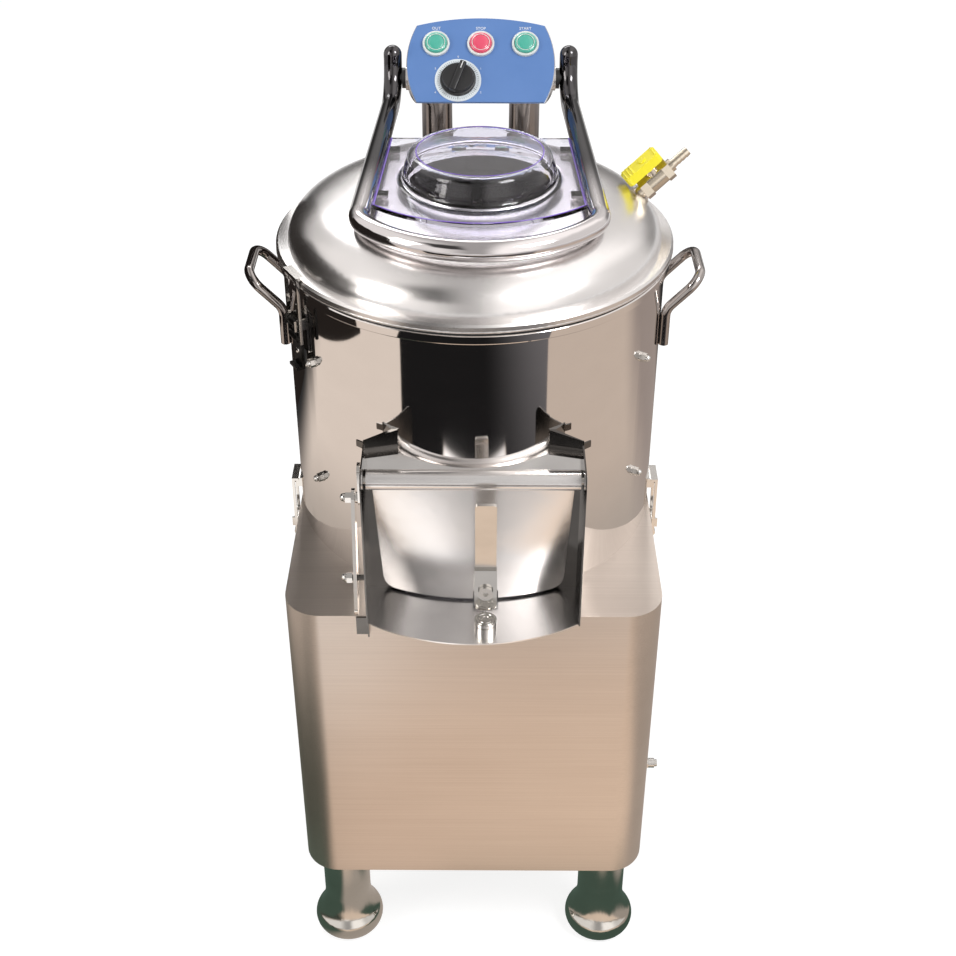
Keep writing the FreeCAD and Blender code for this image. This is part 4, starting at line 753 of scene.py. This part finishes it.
# %% Ribs on the tap's wing
tap_along = Vector((0.7430, 0.1853, 0.6428)).normalized()
tap_up = (Vector((0, 0, 1)) - tap_along * tap_along.z).normalized()
tap_side = tap_up.cross(tap_along)
tap_middle = 0.021  # from the lid along the tap, in metres
wing_top = 26.3
tap_base = at(166.9, 41.6, 335.0) + tap_along * tap_middle
tap_axes = Matrix((tap_along, tap_side, tap_up)).transposed().to_4x4()
tap_place = Matrix.Translation(tap_base) @ tap_axes
ribs = [(brick((1.6, 17.5, 1.4), (x, 0, wing_top), 0.5), tap_place) for x in (-22, -18, -14, 14)]
wing_screw = [(0, 25.5), (4.4, 25.5), (4.4, 26.6), (3.6, 27.2), (0, 27.2)]
ribs.append((lathe(wing_screw, 32), tap_place))
piece("tap_ribs", joined(*ribs), "lever_yellow", "valve_tap")
print("ribs:", len(ribs) - 1)

# %% Edge of the clear cover


def ribbon(path, width, low, high):
    """A flat strip of even width along a path, inside it, from one height to another, in millimetres."""
    bm = bmesh.new()
    rows = []
    for i, (x, y) in enumerate(path):
        before, after = path[max(i - 1, 0)], path[min(i + 1, len(path) - 1)]
        step = Vector((after[0] - before[0], after[1] - before[1])).normalized()
        inner = (x - step.y * width, y + step.x * width)
        ring = [(x, y, low), (*inner, low), (*inner, high), (x, y, high)]
        rows.append([bm.verts.new(Vector(corner) / 1000) for corner in ring])
    for first, second in zip(rows, rows[1:]):
        for j in range(4):
            bm.faces.new((first[j], first[(j + 1) % 4], second[(j + 1) % 4], second[j]))
    bm.faces.new(rows[0])
    bm.faces.new(rows[-1])
    bmesh.ops.recalc_face_normals(bm, faces=bm.faces)
    return bm


front_radius, front_centre = 143.6, 51.6
half_width, back = 92.7, 118.0
plate_line, crown_height = (361.52, 361.8), (388.52, 388.8)
arc_turns = [math.radians(turn) for turn in range(-45, 46, 3)]
cover_arc = [(front_radius * math.sin(turn), front_centre - front_radius * math.cos(turn))
             for turn in arc_turns]
outline = [(-half_width, back)] + cover_arc + [(half_width, back)]
edge_line = ribbon(outline, 1.5, *plate_line)
crown_line = lathe([(62.0, crown_height[0]), (63.0, crown_height[0]),
                    (63.0, crown_height[1]), (62.0, crown_height[1])], 96, closed=True)
piece("cover_edge", joined((edge_line, Matrix.Translation(at(5, 0, 0))),
                           (crown_line, Matrix.Translation(at(5, 17, 0)))),
      "edge_violet", body_of["clear_cover"])
print("cover edge ready")

# %% Cap of the catch roller
low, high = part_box("catch_roller")
roller_top = Matrix.Translation(((low.x + high.x) / 2, (low.y + high.y) / 2, high.z))
cap_rings = [(0, -3), (9.6, -3), (9.6, 0.25), (9.2, 0.6), (7.8, 0.6), (7.4, 0.1), (6.4, 0.1),
             (6.0, 0.6), (4.0, 0.6), (3.6, 0.1), (0, 0.1)]
piece("roller_cap", joined((lathe(cap_rings, 48), roller_top)), "fastener_metal",
      body_of["catch_roller"])
print("roller cap ready")

# %% Rivets and end knobs of the latches
rivet = [(0, -1.0), (3.2, -1.0), (3.2, 0.3), (2.9, 1.0), (2.0, 1.6), (0, 1.9)]
knob_radius = 4.4
knob_turns = [math.radians(turn) for turn in range(0, 181, 15)]
knob_ball = [(knob_radius * math.sin(turn), -knob_radius * math.cos(turn)) for turn in knob_turns]
rivet_rows, strap_face = (13, 31), 8
# a lever ends 49 mm below its top line, and the knob sits on the finger there
knob_out, knob_down = 12, 47.5
latches = {"lid_latch_front": (-60, 190, 262), "lid_latch_rear": (120, 190, 262),
           "base_latch_left": (-90, 190.5, -40), "base_latch_right": (90, 190.5, -40)}
face_out = Matrix.Rotation(math.radians(-90), 4, "X")
for name, (turn, reach, height) in latches.items():
    lever = name + "_lever"
    out = Vector((math.sin(math.radians(turn)), -math.cos(math.radians(turn)), 0))
    axes = Matrix((out.cross(Vector((0, 0, 1))), out, Vector((0, 0, 1)))).transposed().to_4x4()
    spot = Matrix.Translation(at(out.x * reach, out.y * reach, height)) @ axes
    dots = [(lathe(rivet, 24),
             spot @ Matrix.Translation((0, strap_face / 1000, -down / 1000)) @ face_out)
            for down in rivet_rows]
    if name.startswith("base"):
        dots.append((lathe(knob_ball, 24),
                     spot @ Matrix.Translation((0, knob_out / 1000, -knob_down / 1000))))
    piece(name + "_rivets", joined(*dots), "rod_metal", body_of[lever])
print("latches:", len(latches))

# %% Update the scene
bpy.context.view_layer.update()
